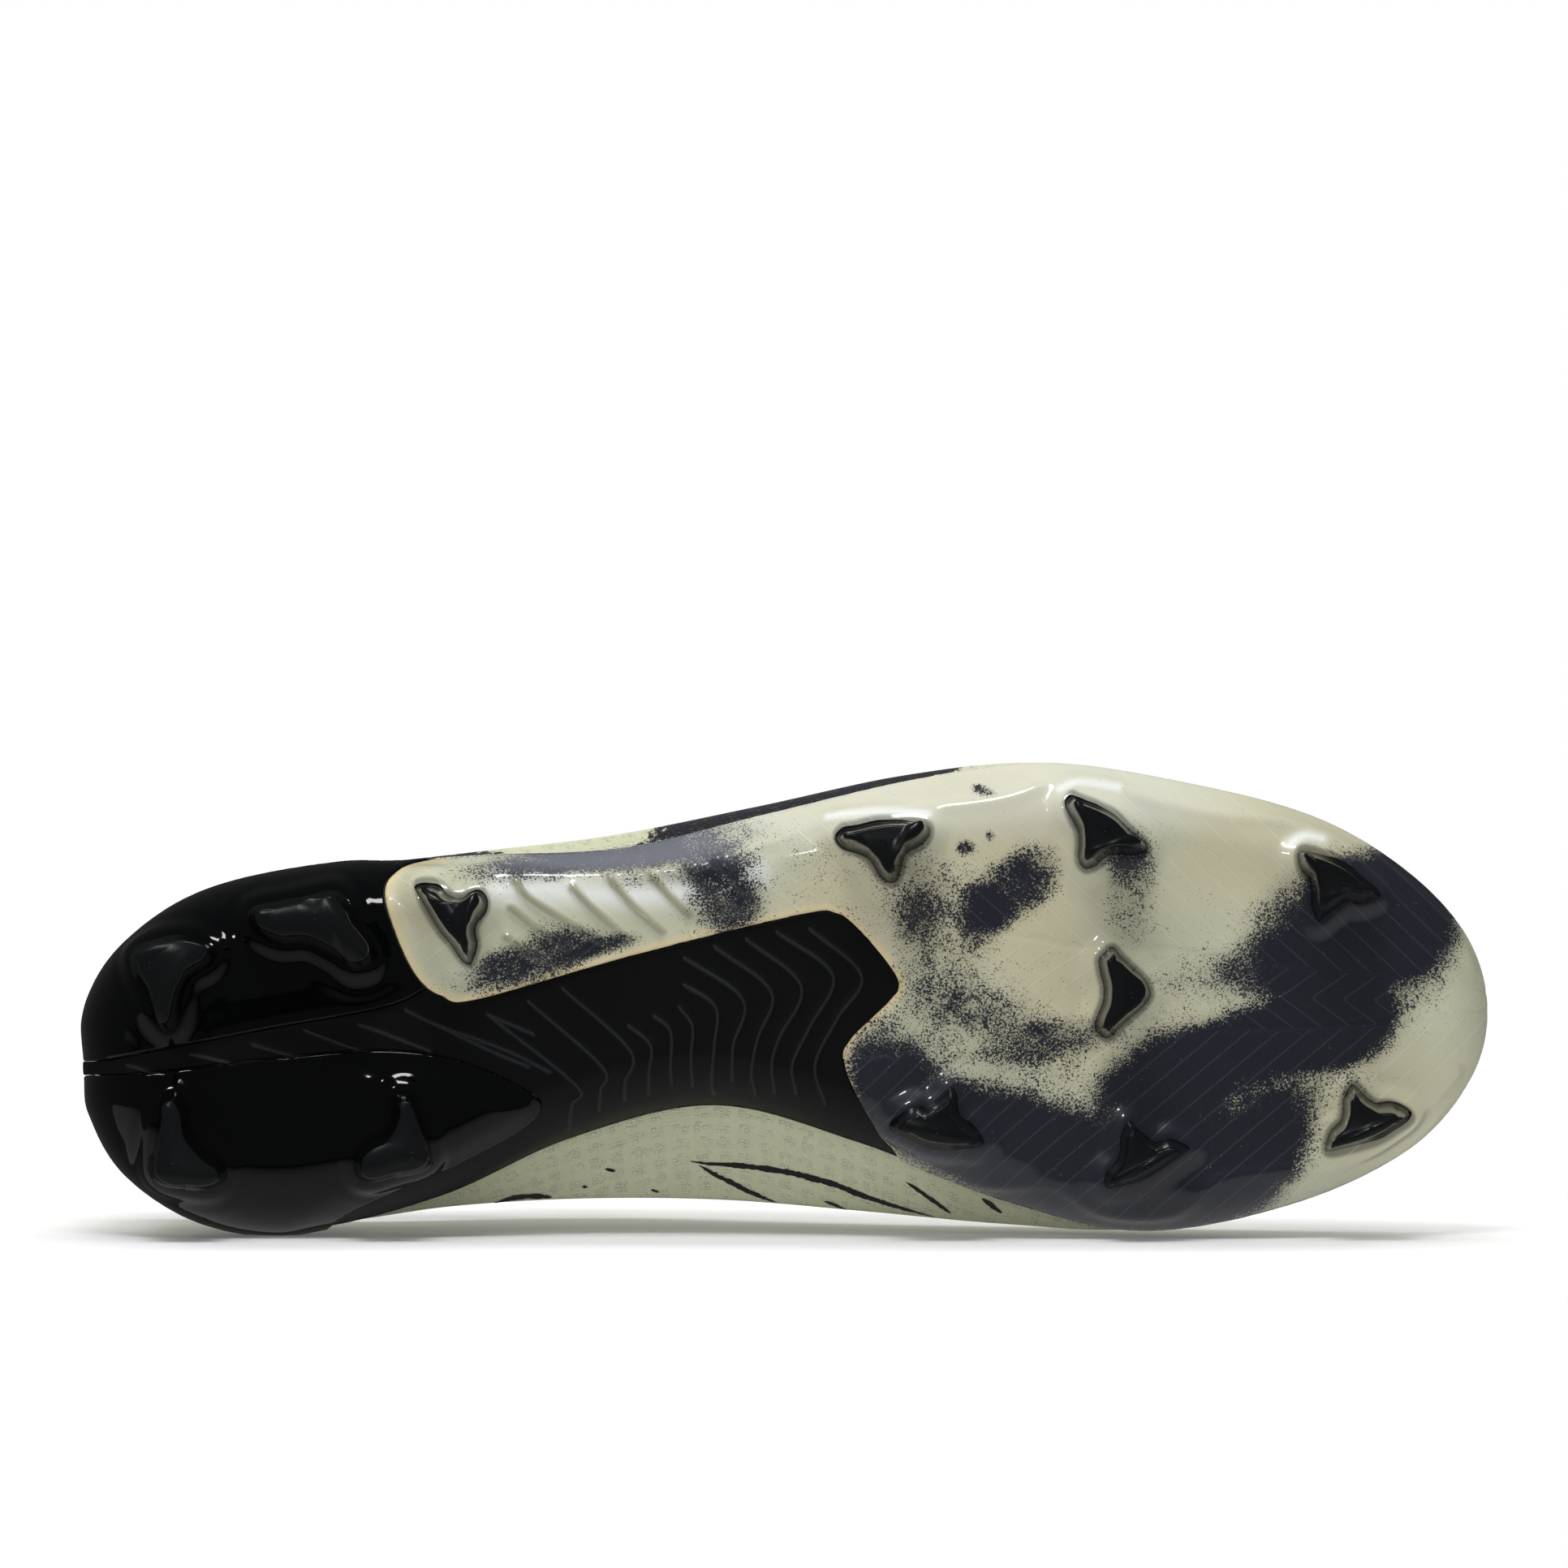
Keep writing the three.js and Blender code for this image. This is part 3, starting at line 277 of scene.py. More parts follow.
# Two shallow lines along the forefoot, and the ledge where its side walls begin.
SPINES = [
    [(149.6, -23.7), (169, -20.6), (190.1, -17.8), (201.4, -15.3), (219.3, -14.1), (229, -11.8),
     (253.4, -8.4),
     (276, -4.3), (282.5, -3)],
    [(156.7, 5.1), (186.1, 2.1), (212.2, 2.2), (238.3, 2.4), (264.4, 2.6), (282.4, 0.8)],
]
LEDGES = [
    [(66.9, -35.8), (89.6, -34), (109.2, -32.9), (125.5, -34.3), (138.7, -38), (148.6, -41.7), (158.5, -44.1),
     (173.2, -44.1), (186.3, -45.2), (196.1, -48.1), (205.9, -48.2), (217.2, -44), (230.1, -40.3),
     (239.8, -39.1), (249.5, -36.3), (262.3, -29.3), (274.9, -18.2), (280.2, -8.3)],
    [(164, 27.3), (175.2, 32.2), (186.6, 31.4), (194.8, 31.7), (204.3, 37.8), (217.4, 38.3), (227.4, 32.2),
     (237.2, 30.9), (250.3, 30.6), (263.6, 23.7), (275.4, 12.8)],
]
# Dabs of blue-black ink printed under the milky plate: middle, half axes, turn in degrees, strength.
INK = [
    (91, -16, 12.2, 4.2, -14, 1), (107, -19, 6.5, 1.6, -14, 0.7), (131, -28, 7.3, 7.3, 0, 1),
    (99, -22, 9.8, 2.3, 10, 0.35), (153, -34, 9.8, 4.9, -20, 0.28), (168, -29, 6.5, 8.1, 0, 0.5),
    (176, -20, 5.7, 11.4, 10, 0.38), (142, -37, 8.1, 4.1, 0, 0.15), (189, -28, 8.5, 5.4, -35, 1.1),
    (182, -22, 4.1, 4.9, 0, 0.6), (212, -27, 4.6, 9.8, 10, 0.55), (210, -34, 4.6, 4.9, 0, 0.5),
    (186, -8, 14.7, 5.7, 0, 0.22), (180, -4, 9.8, 4.1, 10, 0.35), (193, 3, 11.4, 3.6, -8, 0.42),
    (206, 2, 9.8, 4.1, 0, 0.25), (160, 6, 6.5, 6.5, 30, 0.55), (166, 14, 10.5, 8, 20, 0.62),
    (177, 20, 17.9, 7.3, 10, 1.2), (193, 29, 19.5, 9.8, 12, 1.3), (211, 33, 19.5, 9.8, 0, 1.3),
    (227, 30, 14.7, 9.8, -15, 1.2), (227, 8, 17.9, 6.2, -15, 1.1), (245, 4, 14.7, 5.7, -5, 1.1),
    (217, 14, 11.4, 8.1, -20, 1.1), (238, 20, 7.3, 9.8, 10, 0.8), (252, 1, 9, 9.8, 0, 1.1),
    (249, -15, 11.4, 12.2, 20, 1.2), (262, -16, 10.4, 13.7, -25, 1.2), (268, -22, 9.8, 9.8, 0, 1.2),
    (248, 18, 9.8, 4.9, 0, 0.3), (226, -4, 14.7, 7.3, -10, 0.35), (236, -10, 8.1, 4.9, -20, 0.5),
    (183, -47, 2.4, 1, 20, 0.8), (179, -36, 1.8, 1.4, 0, 0.8), (184, -38, 1, 1, 0, 0.8),
    (107, -37.4, 25, 3.4, -7, 1.2), (120, -33.5, 12, 3, -8, 0.5), (150, -8, 4, 9, 0, 0.18),
    (172, 6, 22, 10, 0, 0.22),
    (196, 14, 14, 7, 0, 0.3), (170, -16, 14, 12, 0, 0.16), (222, -14, 12, 7, -20, 0.18),
    (168, -16, 3.5, 9.5, 5, 0.4), (186, 3, 16, 6, 0, 0.22), (163, 3, 9, 10, 0, 0.2),
    (150, -22, 8, 6, 0, 0.25),
]


def ease(a, b, x):
    t = np.clip((np.asarray(x, float) - a) / (b - a), 0, 1)
    return t * t * (3 - 2 * t)


def ink_at(p):
    total = np.zeros(len(p))
    for x, y, a, b, turn, strength in INK:
        c, s = math.cos(math.radians(turn)), math.sin(math.radians(turn))
        dx, dy = p[:, 0] - x, p[:, 1] - y
        r = np.hypot((c * dx + s * dy) / a, (c * dy - s * dx) / b)
        total += strength * (1 - ease(0.45, 1.75, r))
    return np.minimum(total, 1.5)


STEP = 0.8
edge_u = np.arange(0, TURN, 0.005)
edge_line = edge_at(edge_u)


def even(points, step, closed=True):
    """Points spaced evenly along a polyline."""
    p = np.array(points, float)
    if closed:
        p = np.vstack([p, p[:1]])
    run = np.concatenate([[0], np.cumsum(np.linalg.norm(np.diff(p, axis=0), axis=1))])
    count = max(2, int(round(run[-1] / step)) + (0 if closed else 1))
    at = np.linspace(0, run[-1], count, endpoint=not closed)
    return np.stack([np.interp(at, run, p[:, k]) for k in range(p.shape[1])], 1)


seams = {
    name: even(loop(points)(np.arange(0, len(points), 0.02)), STEP)
    for name, points in (("lateral", LATERAL_POD), ("medial", MEDIAL_POD), ("forefoot", FOREFOOT))}
seam_fine = {name: even(line, 0.1) for name, line in seams.items()}
VIEW_CENTRE = np.array([143.4, -49.9])


def drawn_in(points, share):
    """Plan points moved towards VIEW_CENTRE by a share of their distance from it.

    The studs' outlines are drawn as they look square on from there, where what stands nearer looks
    wider; a foot stands nearer than its root.
    """
    return points - (points - VIEW_CENTRE) * share


ROOT_SHARE, FOOT_SHARE = 0.008, 0.0174
stud_roots = {
    name: drawn_in(even(loop(s["root"])(np.arange(0, len(s["root"]), 0.02)), 0.25), ROOT_SHARE)
    for name, s in STUDS.items()}


def smooth_line(points, step):
    """An open smooth line through points, as evenly spaced ones."""
    p = np.array(points, float)
    rows = np.vstack([2 * p[0] - p[1], p, 2 * p[-1] - p[-2]])
    u = np.linspace(1, len(p) - 1e-6, len(p) * 24)
    return even(loop(rows)(u), step, closed=False)


def nearest(line, points):
    """For each point, the distance to a dense line and the index of its nearest point there."""
    tree = KDTree(len(line))
    for i, (x, y) in enumerate(line):
        tree.insert((x, y, 0), i)
    tree.balance()
    found = [tree.find((x, y, 0)) for x, y in points]
    return np.array([f[2] for f in found]), np.array([f[1] for f in found])


def inside(outline, points):
    """Which points lie inside a closed outline in plan."""
    a, b = outline, np.roll(outline, -1, axis=0)
    hit = np.zeros(len(points), bool)
    x, y = points[:, 0], points[:, 1]
    for (x0, y0), (x1, y1) in zip(a, b):
        if y0 != y1:
            crosses = (y0 > y) != (y1 > y)
            hit ^= crosses & (x < x0 + (y - y0) * (x1 - x0) / (y1 - y0))
    return hit


def lay_out_face():
    """Triangles over the outsole in plan, with points along its edge and both sides of each seam."""
    rim = even(edge_line, STEP)
    chains = [rim] + list(seams.values())
    ring_u = np.arange(0, TURN, STEP / 25)
    cloud = [
        edge_at(ring_u) + inward_at(ring_u) * d
        for d in (0.12, 0.21, 0.3, 0.42, 0.58, 0.8, 1.1, 1.5, 2, 2.6)]
    for line in seams.values():
        d = np.roll(line, -1, axis=0) - np.roll(line, 1, axis=0)
        n = np.stack([-d[:, 1], d[:, 0]], 1) / np.linalg.norm(d, axis=1)[:, None]
        cloud += [line + n * side * k for side in (1, -1) for k in (0.15, 0.35, 0.6, 1)]
    for line in [smooth_line(r, 0.55) for r in RIBS]:
        d = np.gradient(line, axis=0)
        n = np.stack([-d[:, 1], d[:, 0]], 1) / np.linalg.norm(d, axis=1)[:, None]
        cloud += [line + n * k for k in (-0.7, -0.35, 0, 0.35, 0.7)]
    near_edge = np.vstack(cloud)
    xs = np.arange(-1, 285, STEP)
    ys = enumerate(np.arange(-54, 44, STEP * 0.87))
    grid = np.array([(x, y) for i, y in ys for x in xs + (i % 2) * STEP / 2])
    lines = [even(edge_line, 0.3), *seam_fine.values()]
    away = np.min([nearest(line, grid)[0] for line in lines], 0)
    off_ribs = nearest(np.vstack([smooth_line(r, 0.3) for r in RIBS]), grid)[0]
    grid = grid[(away > 1.3) & (off_ribs > 1.0)]
    loose = np.vstack([near_edge, grid])
    loose = loose[inside(rim, loose)]
    lines = [even(rim, 0.1), *seam_fine.values()]
    gap = np.min([nearest(line, loose)[0] for line in lines], 0)
    loose = loose[gap > 0.07]
    points = np.vstack(chains + [loose])
    links = []
    start = 0
    for chain in chains:
        n = len(chain)
        links += [(start + i, start + (i + 1) % n) for i in range(n)]
        start += n
    out = geometry.delaunay_2d_cdt([tuple(p) for p in points], links, [], 0, 1e-4)
    flat = np.array([tuple(v) for v in out[0]])
    faces = np.array(out[2])
    return flat, faces[inside(rim, flat[faces].mean(1))]


face_xy, face_tris = lay_out_face()
corners = face_xy[face_tris]
turned = np.cross(corners[:, 1] - corners[:, 0], corners[:, 2] - corners[:, 0]) < 0
face_tris[turned] = face_tris[turned][:, ::-1]
face_tris = face_tris[:, ::-1]
middles = corners.mean(1)
in_seam = {name: inside(line, middles) for name, line in seams.items()}
owner = np.where(in_seam["forefoot"], 0, np.where(in_seam["lateral"], 1, np.where(in_seam["medial"], 2, 3)))
to_edge, edge_index = nearest(edge_line, face_xy)
lift, steep = roll_at(edge_u[edge_index], to_edge)
face = np.column_stack([face_xy, rocker(face_xy[:, 0]) + lift])
to_seam = {name: nearest(line, face_xy)[0] for name, line in seam_fine.items()}
to_stud = {
    name: nearest(line, face_xy)[0] * np.where(inside(line, face_xy), 0, 1)
    for name, line in stud_roots.items()}

face_out = np.column_stack([-inward_at(edge_u[edge_index]) * steep[:, None], -np.ones(len(face))])
face_out[:, 0] += rocker(face_xy[:, 0] + 0.5) - rocker(face_xy[:, 0] - 0.5)
face_out /= np.linalg.norm(face_out, axis=1)[:, None]
to_rib = nearest(np.vstack([smooth_line(r, 0.1) for r in RIBS]), face_xy)[0]
to_fin = np.min([nearest(smooth_line(r, 0.2), face_xy)[0] for r in FINS], 0)
to_spine = np.min([nearest(smooth_line(r, 0.2), face_xy)[0] for r in SPINES], 0)
to_ledge = np.min([nearest(smooth_line(r, 0.2), face_xy)[0] for r in LEDGES], 0)
x, y = face_xy.T
forefoot_studs = np.min([d for n, d in to_stud.items() if "heel" not in n], 0)
heel_studs = np.min([d for n, d in to_stud.items() if "heel" in n], 0)
beside_edge = ease(0, 3, to_edge)
heel_flare = 1.2 * (1 - ease(0, 3.5, heel_studs)) + 0.13 * np.exp(-((heel_studs - 4.6) / 1.2) ** 2)
heel_flare *= beside_edge
relief = {
    0: 1.5 * (1 - ease(0, 4.4, forefoot_studs)) + 1.2 * np.exp(-(to_fin / 0.75) ** 2)
    - 0.22 * np.exp(-(to_spine / 0.5) ** 2) + 0.6 * np.exp(-(to_ledge / 1.5) ** 2) * beside_edge,
    1: 0.9 * ease(0, 9, np.minimum(to_seam["lateral"], to_seam["forefoot"])) + heel_flare,
    2: (0.9 + 1.4 * ease(50, 66, x)) * ease(0, 7, to_seam["medial"]) + heel_flare,
    3: -RECESS * np.maximum(ease(1, 5, to_edge), ease(20, 40, x)) + 0.22 * np.exp(-(to_rib / 0.4) ** 4),
}
piece_seams = {
    0: to_seam["forefoot"], 1: np.minimum(to_seam["lateral"], to_seam["forefoot"]), 2: to_seam["medial"],
    3: np.min(list(to_seam.values()), 0)}
upper_spine = table([(p[0], p[1]) for p in SPINES[0]])
lower_spine = table([(p[0], p[1]) for p in SPINES[1]])
over = np.maximum(upper_spine(x) - y, 0)
under = np.maximum(y - lower_spine(x), 0)
between = np.abs(y - (upper_spine(x) + lower_spine(x)) / 2)
slanted = (x * 0.64 + over * 0.77 + under * 0.82 - np.where(over + under > 0, 0, between * 0.9)) / 4

# Painted reflection: a pale streak painted into the plastic's colour beside the arch, broken by the fins, and
# smaller ones by the studs, where lamps would be reflected.
PAINTED_REFLECTION_STREAKS = [
    [(86, -31), (97, -30.2), (110, -29), (124, -29.5), (137, -32.5)],
    [(152, -42.6), (162, -43), (172, -42.4)],
    [(198, -46.4), (203, -47.6), (210, -46.4)], [(243.6, -34), (246.6, -35.4), (250, -34.6)]]
to_painted_streak = nearest(np.vstack([smooth_line(r, 0.2) for r in PAINTED_REFLECTION_STREAKS]), face_xy)[0]
painted_light = 0.95 * np.exp(-(to_painted_streak / np.where(x < 145, 3.0, 1.0)) ** 2) * ease(0.4, 1.5, to_fin)
# Painted light: the outer side of the plate, back from the toe, is painted a little paler, as if lit from
# that side.
painted_light = np.maximum(painted_light, 0.28 * ease(35, 42, -y) * (1 - ease(215, 245, x)))


def metres(points):
    return np.asarray(points, float) / 1000 + ORIGIN


def build(name, points, faces, smooth=True, **fields):
    """A mesh object from chart points; fields are per-vertex numbers, rows of two make a UV map."""
    mesh = bpy.data.meshes.new(name)
    mesh.from_pydata(metres(points).tolist(), [], [list(map(int, f)) for f in faces])
    mesh.polygons.foreach_set("use_smooth", [smooth] * len(mesh.polygons))
    for field, values in fields.items():
        values = np.asarray(values, float)
        if values.ndim == 2:
            corner = np.empty(len(mesh.loops), int)
            mesh.loops.foreach_get("vertex_index", corner)
            mesh.uv_layers.new(name=field).data.foreach_set("uv", values[corner].ravel())
        else:
            mesh.attributes.new(field, "FLOAT", "POINT").data.foreach_set("value", values)
    mesh.update()
    made = bpy.data.objects.new(name, mesh)
    bpy.context.collection.objects.link(made)
    return made


def sole_piece(name, index):
    """One closed moulded piece: its share of the face, a rounded seam, its side and its inner face."""
    tris = face_tris[owner == index]
    used = np.unique(tris)
    tris = np.searchsorted(used, tris)
    n = len(used)
    edges = np.sort(np.vstack([tris[:, [0, 1]], tris[:, [1, 2]], tris[:, [2, 0]]]), 1)
    pairs, counts = np.unique(edges, axis=0, return_counts=True)
    border = {tuple(e) for e in pairs[counts == 1]}
    round_r = 0.55 if index != 3 else 0.3
    seam = np.minimum(piece_seams[index][used], to_edge[used] + 0.2)
    e = np.clip(seam, 0, round_r)
    rounding = round_r - np.sqrt(round_r ** 2 - (round_r - e) ** 2)
    outer = face[used] + face_out[used] * (relief[index][used] - rounding)[:, None]
    centre = face[used][tris].mean(1)
    pull = np.zeros((n, 3))
    for k in range(3):
        np.add.at(pull, tris[:, k], centre - face[used][tris[:, k]])
    pull /= np.maximum(np.linalg.norm(pull, axis=1), 1e-9)[:, None]
    on_border = np.zeros(n, bool)
    on_border[[v for e in border for v in e]] = True
    at_seam = on_border & (piece_seams[index][used] < 0.06)
    outer[at_seam] += pull[at_seam] * 0.13
    inner = face[used] - face_out[used] * (PLATE + (RECESS if index == 3 else 0))
    inner[at_seam] += pull[at_seam] * 0.13
    faces = [tuple(t) for t in tris] + [tuple(t + n) for t in tris[:, ::-1]]
    for a, b, c in tris:
        for i, j in ((a, b), (b, c), (c, a)):
            if (min(i, j), max(i, j)) in border:
                faces.append((j, i, i + n, j + n))
    fields = dict(
        ink=ink_at(face_xy[used]), seam=np.minimum(piece_seams[index][used], 20), edge=to_edge[used],
        slant=slanted[used], rib=to_rib[used], fin=to_fin[used], painted_light=painted_light[used],
        flare=np.minimum(forefoot_studs[used], 20),
        wall=1 - ease(0.6, 1.5, np.hypot((x[used] - 107) / 27, (y[used] + 38.4) / 4.6)))
    return build(name, np.vstack([outer, inner]), faces, **{k: np.tile(v, 2) for k, v in fields.items()})


grain_group = bpy.data.node_groups.new("grain", "ShaderNodeTree")


def fill_grain_group():
    """Grain, from 0 to 1: the cloudiness, flecks, fibres and pits of every material here."""
    face = grain_group.interface
    inputs = (("Vector", "Vector"), ("Scale", "Float"), ("Detail", "Float"), ("Roughness", "Float"))
    for name, kind in inputs:
        face.new_socket(name, in_out="INPUT", socket_type="NodeSocket" + kind)
    face.new_socket("Grain", in_out="OUTPUT", socket_type="NodeSocketFloat")
    kinds = ("NodeGroupInput", "ShaderNodeTexNoise", "NodeGroupOutput")
    given, noise, out = (grain_group.nodes.new(kind) for kind in kinds)
    for name, _ in inputs:
        grain_group.links.new(given.outputs[name], noise.inputs[name])
    grain_group.links.new(noise.outputs[0], out.inputs["Grain"])


fill_grain_group()


class Look:
    """A material under construction: one Principled BSDF and the nodes that feed it."""

    def __init__(self, name, **sockets):
        self.material = bpy.data.materials.new(name)
        self.material.use_nodes = True
        self.tree = self.material.node_tree
        self.bsdf = self.tree.nodes["Principled BSDF"]
        self.set(**sockets)
        self.place = self.add("TexCoord", {}, out="Object")

    def set(self, **sockets):
        for name, value in sockets.items():
            self.feed(self.bsdf.inputs[name.replace("_", " ")], value)

    def feed(self, socket, value):
        if isinstance(value, bpy.types.NodeSocket):
            self.tree.links.new(value, socket)
        else:
            socket.default_value = value

    def add(self, kind, sockets, out=0, **settings):
        made = self.tree.nodes.new("ShaderNode" + kind)
        for name, value in settings.items():
            setattr(made, name, value)
        for name, value in sockets.items():
            self.feed(made.inputs[name], value)
        return made.outputs[out]

    def math(self, operation, *values):
        return self.add("Math", dict(enumerate(values)), operation=operation)

    def field(self, name):
        return self.add("Attribute", {}, out="Fac", attribute_name=name)

    def grain(self, scale, detail=2.0, roughness=0.5):
        sockets = {"Vector": self.place, "Scale": scale, "Detail": detail, "Roughness": roughness}
        return self.add("Group", sockets, out="Grain", node_tree=grain_group)

    def span(self, value, low, high, to_low=0.0, to_high=1.0, kind="SMOOTHSTEP"):
        sockets = {"Value": value, "From Min": low, "From Max": high, "To Min": to_low, "To Max": to_high}
        return self.add("MapRange", sockets, interpolation_type=kind)

    def mix(self, share, a, b):
        made = self.tree.nodes.new("ShaderNodeMix")
        made.data_type = "RGBA"
        for index, value in ((0, share), (6, a), (7, b)):
            self.feed(made.inputs[index], value)
        return made.outputs[2]

    def bump(self, height, distance, strength=1.0):
        sockets = {"Height": height, "Distance": distance / 1000, "Strength": strength}
        self.set(Normal=self.add("Bump", sockets))


# The forefoot plate is cast clear over a cream film: it reads as a deep gloss over milk, amber
# where it thins at its rim, with the ink under it breaking into flecks.
milk = Look("milky_plate", Roughness=0.32, Coat_Weight=1.0, Coat_Roughness=0.03, Coat_IOR=1.5)
fleck = milk.grain(2500, 3, 0.7)
cloud = milk.grain(210, 5, 0.65)
wander = milk.math("ADD", milk.math("MULTIPLY", milk.math("SUBTRACT", fleck, 0.5), 3.3),
                   milk.math("MULTIPLY", milk.math("SUBTRACT", cloud, 0.5), 1.25))
flecks = milk.span(milk.math("ADD", milk.field("ink"), wander), 0.62, 0.78)
haze = milk.math("MULTIPLY", milk.span(milk.field("ink"), 0.15, 1.1), 0.45)
inked = milk.math("MAXIMUM", flecks, haze)
depth = milk.grain(60, 2)


def srgb(r, g, b):
    """The linear colour of an 8-bit one."""
    c = np.array([r, g, b]) / 255
    return (*np.where(c <= 0.04045, c / 12.92, ((c + 0.055) / 1.055) ** 2.4), 1.0)


cream = milk.mix(depth, srgb(206, 208, 184), srgb(188, 188, 160))
warm = milk.span(milk.grain(28, 1), 0.5, 0.7, 0, 0.28)
cream = milk.mix(warm, cream, srgb(214, 198, 156))
# Painted shade: the cream is darkened in a band beside each fin, where the fin would shade the plate.
painted_fin_shade = milk.span(milk.field("fin"), 0.3, 1.3, 0.6, 0)
cream = milk.mix(painted_fin_shade, cream, srgb(134, 132, 108))
# Painted reflection and painted light: the pale streaks and the paler outer side are mixed into the cream.
cream = milk.mix(milk.field("painted_light"), cream, srgb(244, 247, 243))
smoky_root = milk.span(milk.field("flare"), 0.25, 1.2, 0.62, 0)
cream = milk.mix(smoky_root, cream, srgb(58, 62, 56))
amber = milk.span(milk.field("seam"), 0.3, 2.6, 1, 0)
cream = milk.mix(milk.math("MULTIPLY", amber, 0.75), cream, srgb(226, 206, 160))
ink_colour = milk.mix(milk.field("wall"), srgb(35, 37, 47), srgb(112, 114, 124))
# Painted highlight: the fine slanted moulded lines are painted lighter on the cream and on the ink, besides
# their bump.
line = milk.span(milk.math("PINGPONG", milk.field("slant"), 0.5), 0.43, 0.49)
cream = milk.mix(milk.math("MULTIPLY", line, 0.14), cream, srgb(236, 236, 222))
ink_colour = milk.mix(milk.math("MULTIPLY", line, 0.1), ink_colour, srgb(120, 125, 135))
milk.set(Base_Color=milk.mix(inked, cream, ink_colour))
milk.bump(line, 0.05, 0.4)
plate = sole_piece("forefoot_plate_body", 0)


def keep(made, slot, look, *nodes, body="shoe"):
    """Gives a piece its look and its place in the part."""
    made.data.materials.clear()
    made.data.materials.append(look)
    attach(made, body)
    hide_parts(*nodes)
    return made


keep(plate, "clear_plastic", milk.material, "forefoot_plate")

# The arch bridge is moulded matt, with thin ribs like the bones of a fan.
satin = Look("matt_bridge", Roughness=0.46, Specular_IOR_Level=0.3)
# Painted highlight: the ribs are painted a lighter grey than the bridge, as light catching them; they also
# stand up in the bump.
rib_painted_highlight = satin.span(satin.field("rib"), 0.15, 0.5, 0.5, 0)
satin.set(Base_Color=satin.mix(rib_painted_highlight, srgb(9, 10, 12), srgb(44, 48, 53)))
satin.bump(satin.math("ADD", satin.span(satin.field("rib"), 0.18, 0.5, 1, 0),
                      satin.math("MULTIPLY", satin.grain(9000, 1), 0.1)), 0.16, 0.8)
bridge = sole_piece("arch_bridge", 3)
keep(bridge, "black_matte", satin.material, "arch_shank")

# The heel pods are polished black plastic.
gloss = Look("gloss_black", Base_Color=srgb(4, 5, 6), Roughness=0.07, Specular_IOR_Level=0.5)
for name, index in (("lateral", 1), ("medial", 2)):
    pod = sole_piece("heel_pod_" + name + "_body", index)
    keep(pod, "black_gloss", gloss.material, "heel_pod_" + name)


# ---- Studs ----
# Three-armed blades, cast in smoky black plastic: they flare at the root, taper to a small flat
# foot with a softened edge, and keep the ring of the moulding gate on the foot.
smoke = Look("smoky_black", Specular_IOR_Level=0.35)
foot_face = smoke.span(smoke.field("rise"), 0.97, 1.0)
# Painted sheen: the flat foot is painted a little lighter than the flanks, standing in for its dull gleam; it
# is also rougher.
smoke.set(Base_Color=smoke.mix(foot_face, srgb(8, 9, 10), srgb(17, 19, 20)),
          Roughness=smoke.span(foot_face, 0, 1, 0.12, 0.24))
PROFILE = [
    # share of the height, inset from the root's outline
    (-0.12, -0.7), (0, -0.6), (0.04, -0.15), (0.09, 0.1), (0.2, 0.36), (0.35, 0.6), (0.5, 0.82), (0.65, 1.04),
    (0.8, 1.26), (0.9, 1.42), (0.955, 1.53), (0.985, 1.68), (1.0, 1.95)]


def add_gate(points, faces, share, centre):
    """The gate's mark: a low ring."""
    turn = np.linspace(0, 2 * math.pi, 24, endpoint=False)
    start = len(points)
    rings = []
    for radius, rise in ((0.42, -0.1), (0.46, 0.1), (0.62, 0.1), (0.68, -0.1)):
        rings.append(np.column_stack([
            centre[0] + radius * np.cos(turn), centre[1] + radius * np.sin(turn),
            np.full(24, centre[2] - rise)]))
    for k in range(4):
        for i in range(24):
            a, b = start + k * 24 + i, start + k * 24 + (i + 1) % 24
            c = start + ((k + 1) % 4) * 24
            faces.append((a, b, c + (i + 1) % 24, c + i))
    return np.vstack([points] + rings), faces, np.concatenate([share, np.ones(96)])


def facing_out(made):
    """Turns every face of a closed piece to face outwards."""
    b = bmesh.new()
    b.from_mesh(made.data)
    bmesh.ops.recalc_face_normals(b, faces=b.faces)
    b.to_mesh(made.data)
    b.free()
    return made


def lifted(at):
    distance, index = nearest(edge_line, [at])
    return roll_at(edge_u[index], distance)[0][0] - 0.5


def stud(name, root, arms, at, lean, gate):
    outline = even(loop(root)(np.arange(0, len(root), 0.02)), 0.5)
    at = np.array(at, float)
    spine = [at + np.array(a) * s for a in arms for s in np.linspace(0, 0.8, 30)]
    toward = np.array([min(spine, key=lambda q: np.hypot(*(q - p))) for p in outline]) - outline
    reach = np.linalg.norm(toward, axis=1)[:, None]
    toward /= reach
    heights = rocker(at[0]) + lifted(at)
    foot = max(0.0, rocker(at[0]) - GROUND_DROP)
    layers = []
    for share, inset in PROFILE:
        xy = outline + toward * np.minimum(inset, reach * 0.72) + np.array(lean) * max(share, 0) * 0.6
        xy = drawn_in(xy, ROOT_SHARE + (FOOT_SHARE - ROOT_SHARE) * share)
        z = heights + (foot - heights) * share
        layers.append(np.column_stack([xy, np.full(len(xy), z)]))
    n = len(outline)
    faces = []
    for k in range(len(layers) - 1):
        for i in range(n):
            a, b = k * n + i, k * n + (i + 1) % n
            faces.append((a, b, b + n, a + n))
    top = (len(layers) - 1) * n
    faces += [tuple(range(n - 1, -1, -1)), tuple(range(top, top + n))]
    points = np.vstack(layers)
    share = np.repeat([p[0] for p in PROFILE], n)
    points, faces, share = add_gate(points, faces, share, (*drawn_in(np.array(gate), FOOT_SHARE), foot))
    made = facing_out(build(name + "_body", points, faces, rise=share))
    keep(made, "stud_plastic", smoke.material, name)


for stud_name, spec in STUDS.items():
    stud(stud_name, **spec)


